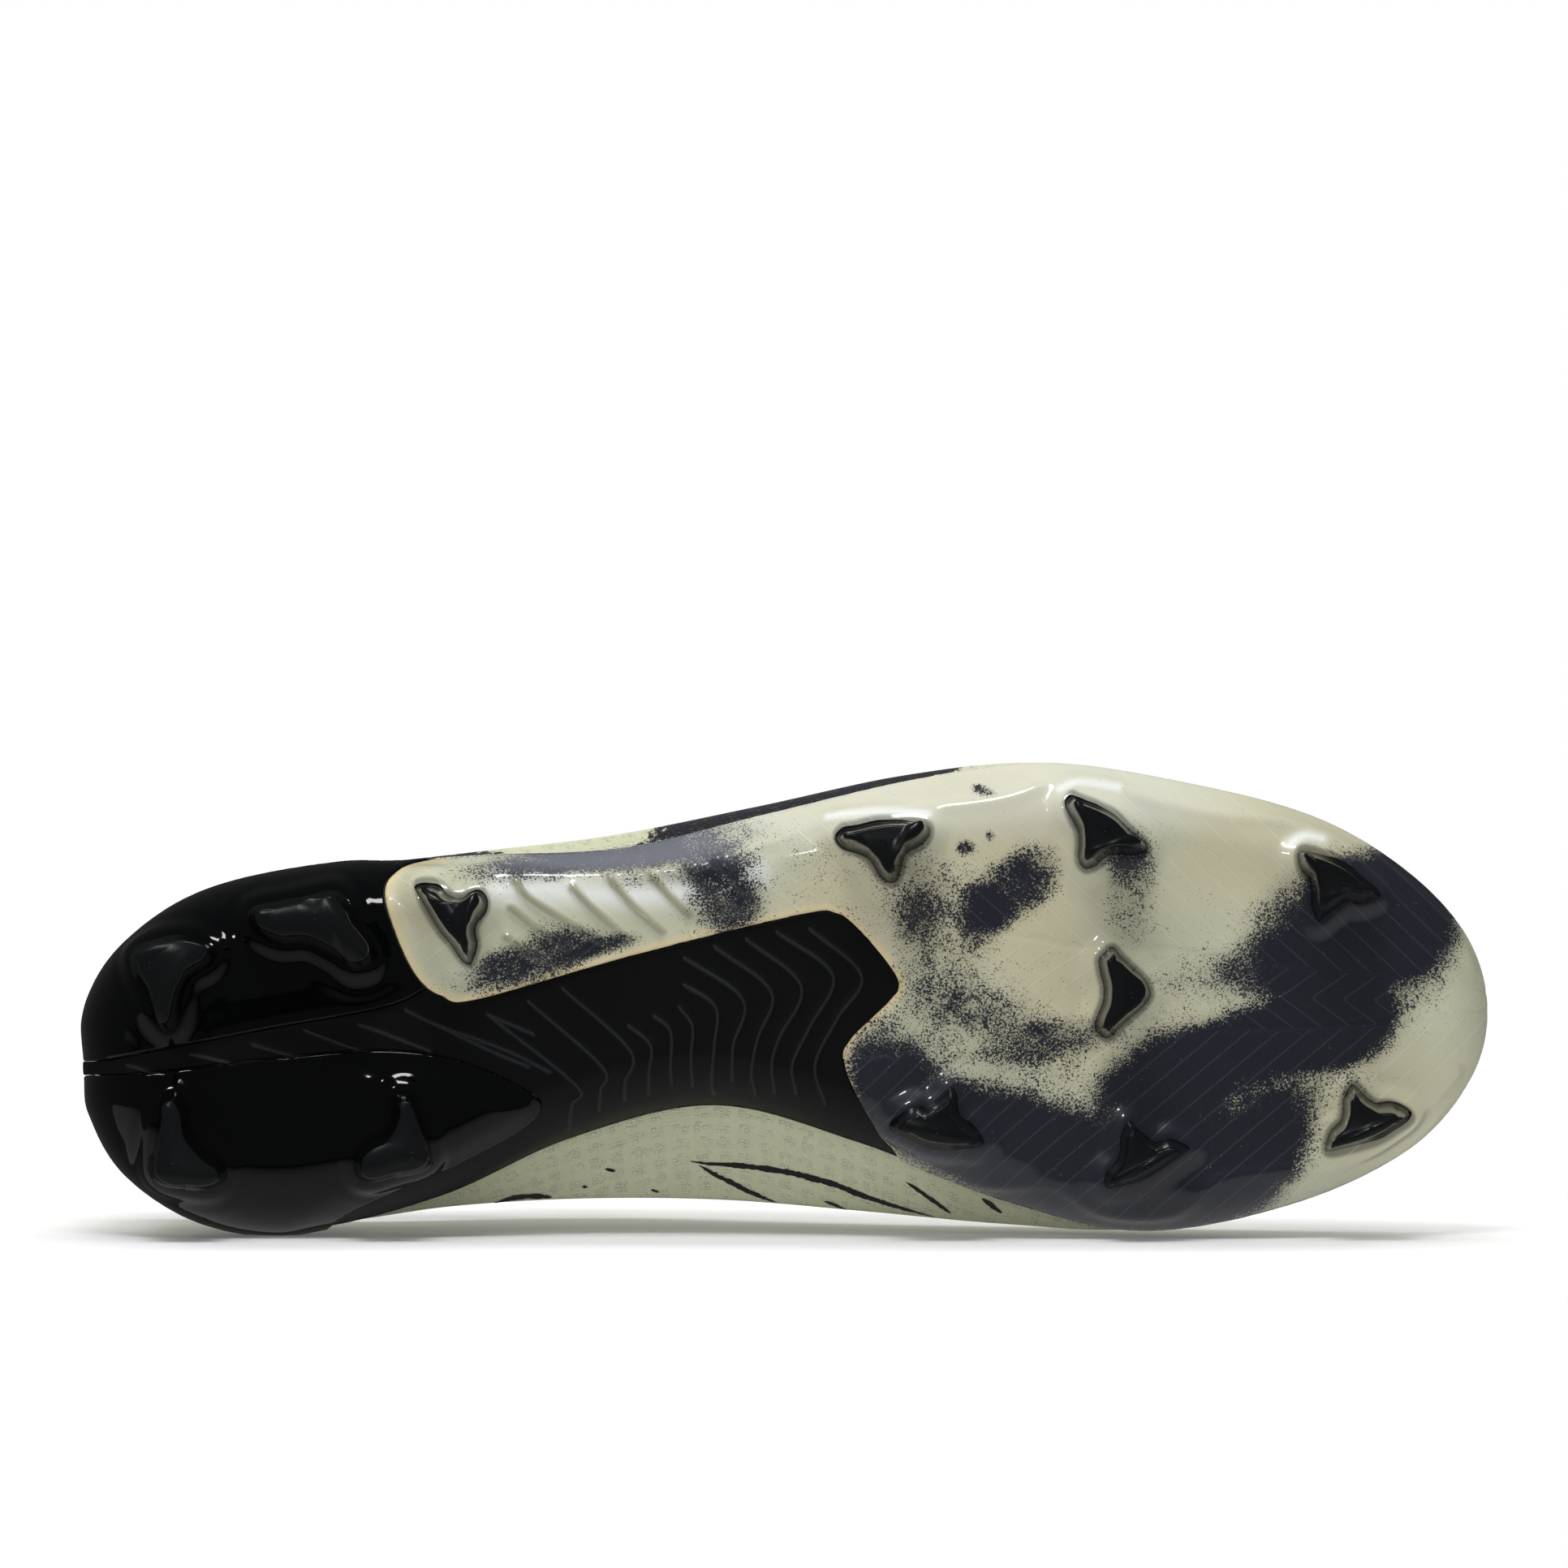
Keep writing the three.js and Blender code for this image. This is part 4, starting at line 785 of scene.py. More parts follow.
# ---- Upper ----
# One knitted shell runs from under the plate, out to the widest line of the foot and up to the rim
# of the opening. v is 0 to 1 inside the plate, 1 to 2 to the widest line and 2 to 3 to the rim.
MARGIN, WALL_START, LEVEL, KNIT = 8.0, 0.3, 3.3, 1.4
RIM_LEAN = loop([[k] for k in [0] * 5 + [0.15, 0.7] + [1] * 15 + [0.7, 0.15] + [0] * 4])


def upper_point(u, v):
    u, v = np.broadcast_arrays(np.asarray(u, float), np.asarray(v, float))
    low = sole_point(u, MARGIN + (WALL_START - MARGIN) * np.clip(v, 0, 1), LEVEL)
    widest, rim = widest_at(u), rim_at(u)
    start = sole_point(u, WALL_START, LEVEL)
    along = start - sole_point(u, 1.8, LEVEL)
    along /= np.linalg.norm(along, axis=-1)[..., None]
    reach = (widest[..., 2] - start[..., 2])[..., None]
    t = np.clip(v - 1, 0, 1)[..., None]
    wall = hermite(start, widest, along * reach, np.array([0, 0, 1]) * reach, t)
    lean = RIM_LEAN(u)
    height = rim[..., 2:] - widest[..., 2:]
    first = widest + np.array([0, 0, 1]) * (0.4 + 0.2 * lean) * height
    second = rim + (widest - rim) * (0.3 + 0.22 * lean)
    second[..., 2:] = rim[..., 2:] - (0.33 - 0.26 * lean) * height
    t = np.clip(v - 2, 0, 1)[..., None]
    top = (1 - t) ** 3 * widest + 3 * t * (1 - t) ** 2 * first + 3 * t * t * (1 - t) * second + t ** 3 * rim
    v = v[..., None]
    return np.where(v <= 1, low, np.where(v <= 2, wall, top))


def upper_inset(u, v, depth):
    """The upper's surface moved into the shoe by a depth; a negative one is outwards."""
    u, v = np.broadcast_arrays(np.asarray(u, float), np.asarray(v, float))
    across = upper_point(u + 0.04, v) - upper_point(u - 0.04, v)
    along = upper_point(u, np.minimum(v + 0.02, 3)) - upper_point(u, np.maximum(v - 0.02, 0))
    inward = np.cross(along, across)
    inward /= np.linalg.norm(inward, axis=-1)[..., None]
    return upper_point(u, v) + inward * np.asarray(depth, float)[..., None]


def wall_faces(rows, columns, closed):
    """Faces of a closed wall between an outer and an inner grid, the inner one's points last."""
    def ring(side, i, j):
        return side * rows * columns + (i % rows) * columns + j
    faces = []
    last = columns - 1
    for i in range(rows if closed else rows - 1):
        for j in range(last):
            faces.append((ring(0, i, j), ring(0, i + 1, j), ring(0, i + 1, j + 1), ring(0, i, j + 1)))
            faces.append((ring(1, i, j), ring(1, i, j + 1), ring(1, i + 1, j + 1), ring(1, i + 1, j)))
        faces.append((ring(0, i, 0), ring(1, i, 0), ring(1, i + 1, 0), ring(0, i + 1, 0)))
        faces.append((ring(0, i, last), ring(0, i + 1, last), ring(1, i + 1, last), ring(1, i, last)))
    if not closed:
        end = rows - 1
        for j in range(last):
            faces.append((ring(0, 0, j), ring(0, 0, j + 1), ring(1, 0, j + 1), ring(1, 0, j)))
            faces.append((ring(0, end, j), ring(1, end, j), ring(1, end, j + 1), ring(0, end, j + 1)))
    return faces


def wall_patch(name, us, vs, outside, inside_depth, **kept):
    """A closed wall over a patch of the upper; its UV map is in millimetres along and up it."""
    u, v = np.meshgrid(us, vs, indexing="ij")
    outer, inner = upper_inset(u, v, outside), upper_inset(u, v, inside_depth)
    middle = outer[:, len(vs) // 2]
    run = np.concatenate([[0], np.cumsum(np.linalg.norm(np.diff(middle, axis=0), axis=1))])
    rise = np.cumsum(np.linalg.norm(np.diff(outer, axis=1, prepend=outer[:, :1]), axis=2), axis=1)
    flat = np.stack([np.broadcast_to(run[:, None], u.shape), rise], -1).reshape(-1, 2)
    points = np.vstack([outer.reshape(-1, 3), inner.reshape(-1, 3)])
    fields = {k: np.tile(f(outer.reshape(-1, 3), u.ravel(), v.ravel()), 2) for k, f in kept.items()}
    return build(name, points, wall_faces(len(us), len(vs), False), weave=np.tile(flat, (2, 1)), **fields)


EYELETS, EYELET_V, EYELET_R = 5, 2.9, 2.1
THROAT = {"lateral": (12, 7), "medial": (TURN - 12, TURN - 7)}


def eyelet_u(side, i):
    a, b = THROAT[side]
    return a + (b - a) * (i + 0.5) / EYELETS


def bake(made):
    """Replaces a piece's mesh by what its modifiers make of it."""
    seen = made.evaluated_get(bpy.context.evaluated_depsgraph_get())
    mesh = bpy.data.meshes.new_from_object(seen)
    made.modifiers.clear()
    made.data = mesh


def frames(path):
    """Unit tangents and two unit normals carried along a path without twist."""
    t = np.gradient(path, axis=0)
    t /= np.linalg.norm(t, axis=1)[:, None]
    n = np.cross(t[0], [0, 0, 1] if abs(t[0][2]) < 0.9 else [1, 0, 0])
    normals = []
    for tangent in t:
        n = n - tangent * n.dot(tangent)
        n = n / np.linalg.norm(n)
        normals.append(n)
    normals = np.array(normals)
    return t, normals, np.cross(t, normals)


def tube(name, path, radius, sides, flat=1.0, **kept):
    """A capped tube along a path, with a field for the run along it in millimetres and one for the share of
    the way round it.
    """
    path = np.asarray(path, float)
    t, n, b = frames(path)
    a = np.linspace(0, 2 * math.pi, sides, endpoint=False)
    radius = np.broadcast_to(np.asarray(radius, float), (len(path),))
    ring = np.cos(a)[None, :, None] * n[:, None] + flat * np.sin(a)[None, :, None] * b[:, None]
    points = (path[:, None] + radius[:, None, None] * ring).reshape(-1, 3)
    faces = []
    for i in range(len(path) - 1):
        for j in range(sides):
            k = (j + 1) % sides
            faces.append((i * sides + j, i * sides + k, (i + 1) * sides + k, (i + 1) * sides + j))
    faces += [tuple(range(sides - 1, -1, -1)), tuple(range((len(path) - 1) * sides, len(path) * sides))]
    run = np.concatenate([[0], np.cumsum(np.linalg.norm(np.diff(path, axis=0), axis=1))])
    around = np.tile(a / (2 * math.pi), len(path))
    return build(name, points, faces, along=np.repeat(run, sides), around=around, **kept)


def drill_eyelets(made, sides):
    """Cuts the lace holes through a piece."""
    for side in sides:
        for i in range(EYELETS):
            u = eyelet_u(side, i)
            a, b = upper_inset(u, EYELET_V, -6.0), upper_inset(u, EYELET_V, 6.0)
            path = np.linspace(a, b, 3)
            cutter = facing_out(tube("eyelet_cutter", path, EYELET_R, 28))
            cut = made.modifiers.new("eyelet", "BOOLEAN")
            cut.operation, cut.solver, cut.object = "DIFFERENCE", "MANIFOLD", cutter
            bake(made)
            bpy.data.objects.remove(cutter)


# Dabs of black print on the knit: side, middle along and up, half axes, turn in degrees, strength.
CLOTH_DABS = [
    (-1, 150, 30, 33, 12, 4, 1.2), (-1, 132, 44, 22, 13, -24, 1.1), (-1, 168, 46, 17, 7, -30, 0.7),
    (-1, 112, 56, 12, 6, -40, 0.5), (-1, 219, 27, 13, 6, 0, 1.2), (-1, 68, 33, 17, 6, 0, 1.1),
    (-1, 52, 46, 12, 5, 30, 0.6), (0, 252, 43, 12, 6, -20, 0.8), (0, 236, 50, 9, 4, -20, 0.5),
    (-1, 40, 66, 10, 5, 20, 0.5), (1, 30, 44, 9, 5, 10, 0.5), (1, 60, 30, 10, 3, 0, 0.4),
]


def dark_cloth(p, u, v):
    """How dark the knit is printed: broad dabs over the outer side, a few small ones elsewhere."""
    total = np.zeros(len(p))
    for side, cx, cz, a, b, turn, strength in CLOTH_DABS:
        c, s = math.cos(math.radians(turn)), math.sin(math.radians(turn))
        dx, dz = p[:, 0] - cx, p[:, 2] - cz
        r = np.hypot((c * dx + s * dz) / a, (c * dz - s * dx) / b)
        on_side = np.where(p[:, 1] < 0, -1, 1) == side
        total += np.where(on_side | (side == 0), strength * (1 - ease(0.5, 1.5, r)), 0)
    return np.minimum(total, 1.3)


QUICK = 1
knit = Look("cream_knit", Roughness=0.75, Specular_IOR_Level=0.3, Sheen_Weight=0.15, Sheen_Roughness=0.5)
weave = knit.add("UVMap", {}, uv_map="weave")
leaf = knit.add("VectorMath", {0: weave, 1: (1 / 1.15, 1 / 0.8, 0)}, operation="MULTIPLY")
cells = knit.add("TexVoronoi", {"Vector": leaf, "Scale": 1.0, "Randomness": 0.45}, feature="F1")
group = knit.add("VectorMath", {0: weave, 1: (1 / 4.1, 1 / 3.3, 0)}, operation="MULTIPLY")
clusters = knit.add("TexVoronoi", {"Vector": group, "Scale": 1.0, "Randomness": 0.2}, feature="F1")
inside_cluster = knit.span(clusters, 0.28, 0.5, 1, 0.12)
bumps = knit.math("MULTIPLY", knit.span(cells, 0.1, 0.6, 1, 0), inside_cluster)
fine = knit.grain(2200, 2)
ragged = knit.math("MULTIPLY", knit.math("SUBTRACT", knit.grain(420, 5, 0.75), 0.5), 2.2)
dark = knit.span(knit.math("ADD", knit.field("dark"), ragged), 0.45, 0.6)
# Painted shade: each yarn colour is lighter on the raised knit cells and darker between them, shade painted
# into the hollows of the knit.
cream_yarn = knit.mix(bumps, srgb(196, 198, 168), srgb(222, 223, 200))
dark_yarn = knit.mix(bumps, srgb(26, 26, 33), srgb(58, 57, 66))
knit.set(Base_Color=knit.mix(dark, cream_yarn, dark_yarn))
knit.bump(knit.math("ADD", bumps, knit.math("MULTIPLY", fine, 0.2)), 0.45, 0.9)

levels = np.concatenate([
    np.linspace(0, 1, 7)[:-1], np.linspace(1, 2, 19)[:-1], np.linspace(2, 3, 40 // QUICK)])
round_the_foot = np.linspace(0, TURN, TURN * 12 // QUICK + 1)
shell = wall_patch("knit_upper_body", round_the_foot, levels, 0.0, KNIT, dark=dark_cloth)
drill_eyelets(shell, ("lateral", "medial"))
keep(shell, "knit", knit.material, "knit_upper")


# Black brush marks are printed on the inner side of the knit, thin at both ends and rough edged.
def on_upper_below(x, y):
    """The u and v of the upper's lower wall under a place in plan."""
    return tuple(wall_guide[nearest_wall.find((x, y, 0))[1]])


guide_u, guide_v = np.meshgrid(np.arange(TURN / 2, TURN, 0.05), np.arange(1.0, 2.0, 0.02), indexing="ij")
wall_guide = np.stack([guide_u.ravel(), guide_v.ravel()], 1)
wall_places = upper_point(wall_guide[:, 0], wall_guide[:, 1])
nearest_wall = KDTree(len(wall_places))
for place_index, place in enumerate(wall_places):
    nearest_wall.insert((place[0], place[1], 0), place_index)
nearest_wall.balance()
STROKES = [
    # a line in plan and its half width in the middle
    ([(121, 25.6), (129, 26.6), (139, 28), (149, 30.6), (159, 34.6), (171, 38.6)], 0.62),
    ([(123, 26.4), (128, 29.2), (133, 32), (139, 34.8)], 0.5),
    ([(164.6, 30.6), (169, 34), (174, 38)], 0.45), ([(180, 34.4), (184, 38)], 0.5),
    ([(148, 34.4), (153.4, 36.6)], 0.35), ([(81, 32.8), (87, 31.6), (94, 32)], 0.7),
    ([(104, 26.4), (106.6, 27.4)], 0.4), ([(99, 30.2), (101, 30)], 0.3), ([(113, 31), (115, 32)], 0.25),
]
brush = Look("brush_black", Base_Color=srgb(22, 22, 26), Roughness=0.6)
rng = np.random.default_rng(7)
stroke_points, stroke_faces = [], []
for line, half in STROKES:
    uv = np.array([on_upper_below(px, py) for px, py in smooth_line(line, 0.6)])
    uv[:, 0] = np.convolve(np.pad(uv[:, 0], 3, "edge"), np.ones(7) / 7, "valid")
    uv[:, 1] = np.convolve(np.pad(uv[:, 1], 3, "edge"), np.ones(7) / 7, "valid")
    spine_points = upper_inset(uv[:, 0], uv[:, 1], -0.1)
    span = np.linspace(-1, 1, len(uv))
    width = half * (1 - np.abs(span) ** 3) * (0.75 + 0.5 * rng.random(len(uv))) + 0.05
    ahead = np.gradient(spine_points, axis=0)
    ahead /= np.linalg.norm(ahead, axis=1)[:, None]
    out = upper_inset(uv[:, 0], uv[:, 1], -1.0) - upper_inset(uv[:, 0], uv[:, 1], 0.0)
    aside = np.cross(out, ahead) * width[:, None]
    base, n = sum(len(s) for s in stroke_points), len(uv)
    stroke_points += [spine_points - aside, spine_points + aside]
    stroke_faces += [(base + i, base + i + 1, base + n + i + 1, base + n + i) for i in range(n - 1)]
strokes = build("brush_marks", np.vstack(stroke_points), stroke_faces)
keep(strokes, "knit", brush.material)


# Stitches are one small capsule, set along a line of points by a geometry-node tree.
def stitch_tree(look):
    tree = bpy.data.node_groups.new("row_of_stitches", "GeometryNodeTree")
    tree.interface.new_socket("Geometry", in_out="INPUT", socket_type="NodeSocketGeometry")
    for size in ("Thread", "Length", "Pitch"):
        tree.interface.new_socket(size, in_out="INPUT", socket_type="NodeSocketFloat")
    tree.interface.new_socket("Geometry", in_out="OUTPUT", socket_type="NodeSocketGeometry")
    add = tree.nodes.new
    link = tree.links.new
    given, out = add("NodeGroupInput"), add("NodeGroupOutput")
    curve, spaced = add("GeometryNodeMeshToCurve"), add("GeometryNodeResampleCurve")
    spaced.mode = "LENGTH"
    points = add("GeometryNodeCurveToPoints")
    points.mode = "EVALUATED"
    ball = add("GeometryNodeMeshUVSphere")
    ball.inputs["Segments"].default_value, ball.inputs["Rings"].default_value = 8, 6
    shape, squeeze = add("GeometryNodeTransform"), add("ShaderNodeCombineXYZ")
    kinds = ("InstanceOnPoints", "RealizeInstances", "SetMaterial")
    place, real, paint = (add("GeometryNode" + k) for k in kinds)
    paint.inputs["Material"].default_value = look
    link(given.outputs["Geometry"], curve.inputs["Mesh"])
    link(curve.outputs[0], spaced.inputs["Curve"])
    link(given.outputs["Pitch"], spaced.inputs["Length"])
    link(spaced.outputs[0], points.inputs[0])
    link(given.outputs["Thread"], squeeze.inputs[0])
    link(given.outputs["Thread"], squeeze.inputs[1])
    link(given.outputs["Length"], squeeze.inputs[2])
    link(ball.outputs[0], shape.inputs[0])
    link(squeeze.outputs[0], shape.inputs["Scale"])
    link(points.outputs["Points"], place.inputs["Points"])
    link(shape.outputs[0], place.inputs["Instance"])
    link(points.outputs["Rotation"], place.inputs["Rotation"])
    link(place.outputs[0], real.inputs[0])
    link(real.outputs[0], paint.inputs[0])
    link(paint.outputs[0], out.inputs[0])
    return tree


def stitch_row(name, lines, tree, thread=0.28, length=0.95, pitch=2.6):
    """Rows of stitches along some lines of points."""
    points = np.vstack(lines)
    edges, start = [], 0
    for line in lines:
        edges += [(start + i, start + i + 1) for i in range(len(line) - 1)]
        start += len(line)
    mesh = bpy.data.meshes.new(name)
    mesh.from_pydata(metres(points).tolist(), edges, [])
    made = bpy.data.objects.new(name, mesh)
    bpy.context.collection.objects.link(made)
    rows = made.modifiers.new("stitches", "NODES")
    rows.node_group = tree
    sockets = {s.name: s.identifier for s in tree.interface.items_tree if s.in_out == "INPUT"}
    for key, value in (("Thread", thread), ("Length", length), ("Pitch", pitch)):
        rows[sockets[key]] = value / 1000
    bake(made)
    return made


thread_look = Look("dark_thread", Base_Color=srgb(30, 30, 36), Roughness=0.7)
stitches = stitch_tree(thread_look.material)

# Eyestays: a strip of black film welded along each side of the throat, punched for the lace.
film = Look("eyestay_film", Base_Color=srgb(24, 24, 29), Roughness=0.5, Specular_IOR_Level=0.4)
film.bump(film.grain(3500, 2), 0.06, 0.5)
stay_levels = np.concatenate([[2.81, 2.813, 2.818], np.linspace(2.825, 2.97, 14), [2.977, 2.982, 2.985]])


def stay_crown(v):
    return -1.2 + 0.5 * (1 - np.minimum(ease(2.81, 2.825, v), 1 - ease(2.972, 2.985, v)))


for side in ("lateral", "medial"):
    us = np.linspace(*sorted(THROAT[side]), 120 // QUICK)
    u_grid, v_grid = np.meshgrid(us, stay_levels, indexing="ij")
    strip = wall_patch("eyestay_" + side + "_body", us, stay_levels, stay_crown(v_grid), -0.3)
    drill_eyelets(strip, (side,))
    keep(strip, "stay", film.material, "eyestay_" + side)
    inner_us = us[2:-2]
    seam_line = [upper_inset(inner_us, np.full(len(inner_us), 2.834), -1.22)]
    row = stitch_row("eyestay_" + side + "_stitches", seam_line, stitches)
    keep(row, "stay", thread_look.material)

# The heel lining, seen inside the opening, is a brushed dark textile.
nap = Look("brushed_lining", Base_Color=srgb(26, 27, 31), Roughness=0.95, Sheen_Weight=0.4,
           Sheen_Roughness=0.6)
nap.bump(nap.grain(2600, 3, 0.7), 0.2, 0.6)
lining_u, lining_v = np.linspace(-6, 6, 160 // QUICK), np.linspace(1.45, 2.97, 44)
lining = wall_patch("heel_lining_body", lining_u, lining_v, 5.4, 6.2)
keep(lining, "lining", nap.material, "heel_lining")

# The collar's edge is a padded knitted roll with close ribs across it.
ribbed = Look("collar_knit", Roughness=0.85, Sheen_Weight=0.2)
along = ribbed.math("MULTIPLY", ribbed.field("along"), 2 * math.pi / 1.7)
ridges = ribbed.math("SINE", along)
# Painted shade: the roll is painted darker in the grooves between its ribs.
ribbed.set(Base_Color=ribbed.mix(ribbed.span(ridges, -1, 1), srgb(168, 170, 142), srgb(212, 213, 188)))
ribbed.bump(ribbed.math("ADD", ridges, ribbed.math("MULTIPLY", ribbed.grain(3000, 2), 0.6)), 0.14, 0.8)
roll_u = np.linspace(-6, 6, 260 // QUICK)
roll_edge = upper_inset(roll_u, 3.0, 3.1)
roll_along = upper_inset(roll_u + 0.1, 3.0, 0.0) - upper_inset(roll_u - 0.1, 3.0, 0.0)
roll_across = upper_inset(roll_u, 3.0, 1.0) - upper_inset(roll_u, 3.0, 0.0)
roll_up = np.cross(roll_along, roll_across)
roll_up /= np.linalg.norm(roll_up, axis=1)[:, None]
roll_path = roll_edge + roll_up * 3.4
collar = facing_out(tube("collar_roll_body", roll_path, 2.85 * (1 - 0.35 * np.abs(roll_u / 6) ** 12), 24))
keep(collar, "knit", ribbed.material, "collar_roll")

# Tongue: a thin padded knit tongue under the lace, quilted across in low bars.
TONGUE_LINE = [
    (186, 11, 51.6), (170, 15, 58), (150, 17, 67.3), (130, 17.5, 77), (112, 17, 86.2), (99, 16, 94.8),
    (90, 15, 103), (84, 12, 110)]
tongue_rows = smooth_line(TONGUE_LINE, 0.9 * QUICK)
ahead = np.gradient(tongue_rows, axis=0)
ahead /= np.hypot(ahead[:, 0], ahead[:, 2])[:, None]
share = np.linspace(1, -1, 45)
run = np.arange(len(tongue_rows)) * 0.9 * QUICK
ty = tongue_rows[:, 1:2] * share
edge_soft = 1 - (1 - np.minimum((1 - np.abs(share)) / 0.09, 1)) ** 2
puff = 0.5 * np.abs(np.sin(math.pi * run / 9))[:, None] ** 0.5 * edge_soft
tz = tongue_rows[:, 2:] - 0.0175 * ty ** 2


def tongue_sheet(depth):
    px = tongue_rows[:, :1] - ahead[:, 2:] * depth
    return np.stack([np.broadcast_to(px, ty.shape), ty, tz + ahead[:, :1] * depth], -1).reshape(-1, 3)


tongue_fabric = Look("tongue_knit", Roughness=0.85, Sheen_Weight=0.2, Base_Color=srgb(204, 206, 178))
hole_sockets = {"Vector": tongue_fabric.place, "Scale": 620.0, "Randomness": 0.1}
mesh_holes = tongue_fabric.add("TexVoronoi", hole_sockets, feature="F1")
pits = tongue_fabric.span(mesh_holes, 0.2, 0.45)
# Painted shade: the mesh is painted dark in its holes.
tongue_fabric.set(Base_Color=tongue_fabric.mix(pits, srgb(120, 121, 104), srgb(209, 211, 186)))
tongue_fabric.bump(pits, 0.3, 0.7)
thinned = 1 - edge_soft
tongue_points = np.vstack([tongue_sheet(0.55 * thinned), tongue_sheet(2.1 + puff - 0.9 * thinned)])
tongue_faces = wall_faces(len(tongue_rows), len(share), False)
tongue = facing_out(build("tongue_body", tongue_points, tongue_faces))
keep(tongue, "knit", tongue_fabric.material, "tongue")

# Lace: one braided cord, criss-crossed up the throat, with both ends tucked under the upper.
LACE, CROSS_RISE, TUCK_U = 1.1, 1.6, 6.75
UNDER, OVER = KNIT + LACE + 0.7, 0.3 + 0.9 + LACE + 0.4


def tuck(side, back_by):
    return TUCK_U - back_by if side == "lateral" else TURN - TUCK_U + back_by


def lace_half(side, rise):
    points = []
    for i in range(EYELETS):
        u = eyelet_u(side, i)
        if i:
            points.append(upper_inset(u, 3.0, UNDER + 0.3))
        points += [upper_inset(u, EYELET_V, d) for d in (UNDER, 0.2, -OVER)]
        over_edge = upper_inset(u, 3.0, -OVER)
        side = "medial" if side == "lateral" else "lateral"
        following = eyelet_u(side, i + 1) if i < EYELETS - 1 else tuck(side, 0)
        middle = (upper_inset(following, 3.0, -OVER) + over_edge) / 2
        points += [over_edge, middle + np.array([0, 0, rise])]
    ends = ((0, 3.0, 0.3), (0.1, 2.86, 0.3), (0.18, 2.74, 0.4))
    return points + [upper_inset(tuck(side, b), v, UNDER + d) for b, v, d in ends], side


first, first_side = lace_half("lateral", CROSS_RISE)
second, second_side = lace_half("medial", -CROSS_RISE)
bar_ends = [upper_inset(eyelet_u(side, 0), 3.0, UNDER + 0.3) for side in ("lateral", "medial")]
lace_stops = np.array(first[::-1] + [bar_ends[0], (bar_ends[0] + bar_ends[1]) / 2, bar_ends[1]] + second)


def cord_through(points, step):
    """A smooth line through points that bends no wider than they do."""
    gaps = np.linalg.norm(np.diff(points, axis=0), axis=1) ** 0.5
    at = np.concatenate([[0], np.cumsum(gaps)])
    rows = []
    for i in range(len(points) - 1):
        a, d = max(i - 1, 0), min(i + 2, len(points) - 1)
        h = at[i + 1] - at[i]
        m = (points[i + 1] - points[a]) / (at[i + 1] - at[a]) * h
        n = (points[d] - points[i]) / (at[d] - at[i]) * h
        t = np.linspace(0, 1, 24, endpoint=False)[:, None]
        rows.append(hermite(points[i], points[i + 1], m, n, t))
    return even(np.vstack(rows + [points[-1:]]), step, closed=False)


braid = Look("braided_lace", Roughness=0.8, Sheen_Weight=0.2)
turn_round = braid.math("MULTIPLY", braid.field("around"), 8 * math.pi)
turn_along = braid.math("MULTIPLY", braid.field("along"), 2 * math.pi / 1.3)
plaits = braid.math("MULTIPLY", braid.math("SINE", braid.math("ADD", turn_round, turn_along)),
                    braid.math("SINE", braid.math("SUBTRACT", turn_round, turn_along)))
# Painted shade: the cord is painted darker in the grooves between its plaits.
braid.set(Base_Color=braid.mix(braid.span(plaits, -0.6, 0.6), srgb(176, 178, 150), srgb(216, 217, 194)))
braid.bump(plaits, 0.12, 0.8)
lace = facing_out(tube("lace_body", cord_through(lace_stops, 0.5 * QUICK), LACE, 16))
keep(lace, "knit", braid.material, "lace")
sleeve = Look("lace_tip_black", Base_Color=srgb(15, 16, 18), Roughness=0.25)
for side in (first_side, second_side):
    tip_ends = [upper_inset(tuck(side, b), v, UNDER + 0.6) for b, v in ((0.22, 2.7), (0.42, 2.46))]
    tip_path = np.linspace(*tip_ends, 24)
    tip_share = np.linspace(0, 1, 24)
    past_end = np.maximum(np.abs(tip_share - 0.5) * 2 - 0.85, 0)
    tip_r = (LACE + 0.3) * np.sqrt(np.clip(1 - past_end ** 2 / 0.03, 0.3, 1))
    tip = facing_out(tube("lace_tip_" + side + "_body", tip_path, tip_r, 20))
    keep(tip, "tip", sleeve.material, "lace_tip_" + side)

# Pull tab: a loop of woven tape that swings at its foot, over a sewn patch at the heel.
tape = Look("woven_tape", Roughness=0.85, Specular_IOR_Level=0.3)
warp = tape.math("SINE", tape.math("MULTIPLY", tape.field("across"), 2 * math.pi / 0.9))
weft = tape.math("SINE", tape.math("MULTIPLY", tape.field("along"), 2 * math.pi / 0.7))
basket = tape.math("MULTIPLY", warp, weft)
# Painted shade: the tape is painted darker where its weave dips.
tape.set(Base_Color=tape.mix(tape.span(basket, -0.7, 0.7), srgb(20, 21, 24), srgb(46, 47, 52)))
tape.bump(basket, 0.12, 0.8)
turns = np.linspace(0, math.pi, 25)
outline_xz = np.concatenate([
    np.column_stack([4.9 + 1.25 * np.cos(turns), 108 + 1.25 * np.sin(turns)]),
    np.column_stack([np.full(24, 3.65), np.linspace(107.2, 88.6, 24)]),
    np.column_stack([4.9 - 1.25 * np.cos(turns), 87.8 - 1.25 * np.sin(turns)]),
    np.column_stack([np.full(24, 6.15), np.linspace(88.6, 107.2, 24)])])
loop_run = np.concatenate([[0], np.cumsum(np.hypot(*np.diff(outline_xz, axis=0).T))])
normal_xz = np.roll(outline_xz, -1, axis=0) - np.roll(outline_xz, 1, axis=0)
normal_xz = np.column_stack([normal_xz[:, 1], -normal_xz[:, 0]]) / np.hypot(*normal_xz.T)[:, None]
section = [(-6.4, 0.25), (-6.2, 0.5), (-5.8, 0.55), *[(s, 0.55) for s in np.linspace(-5, 5, 11)], (5.8, 0.55),
           (6.2, 0.5), (6.4, 0.25)]
section += [(s, -r) for s, r in section[::-1]]
tape_points, tape_across, tape_along = [], [], []
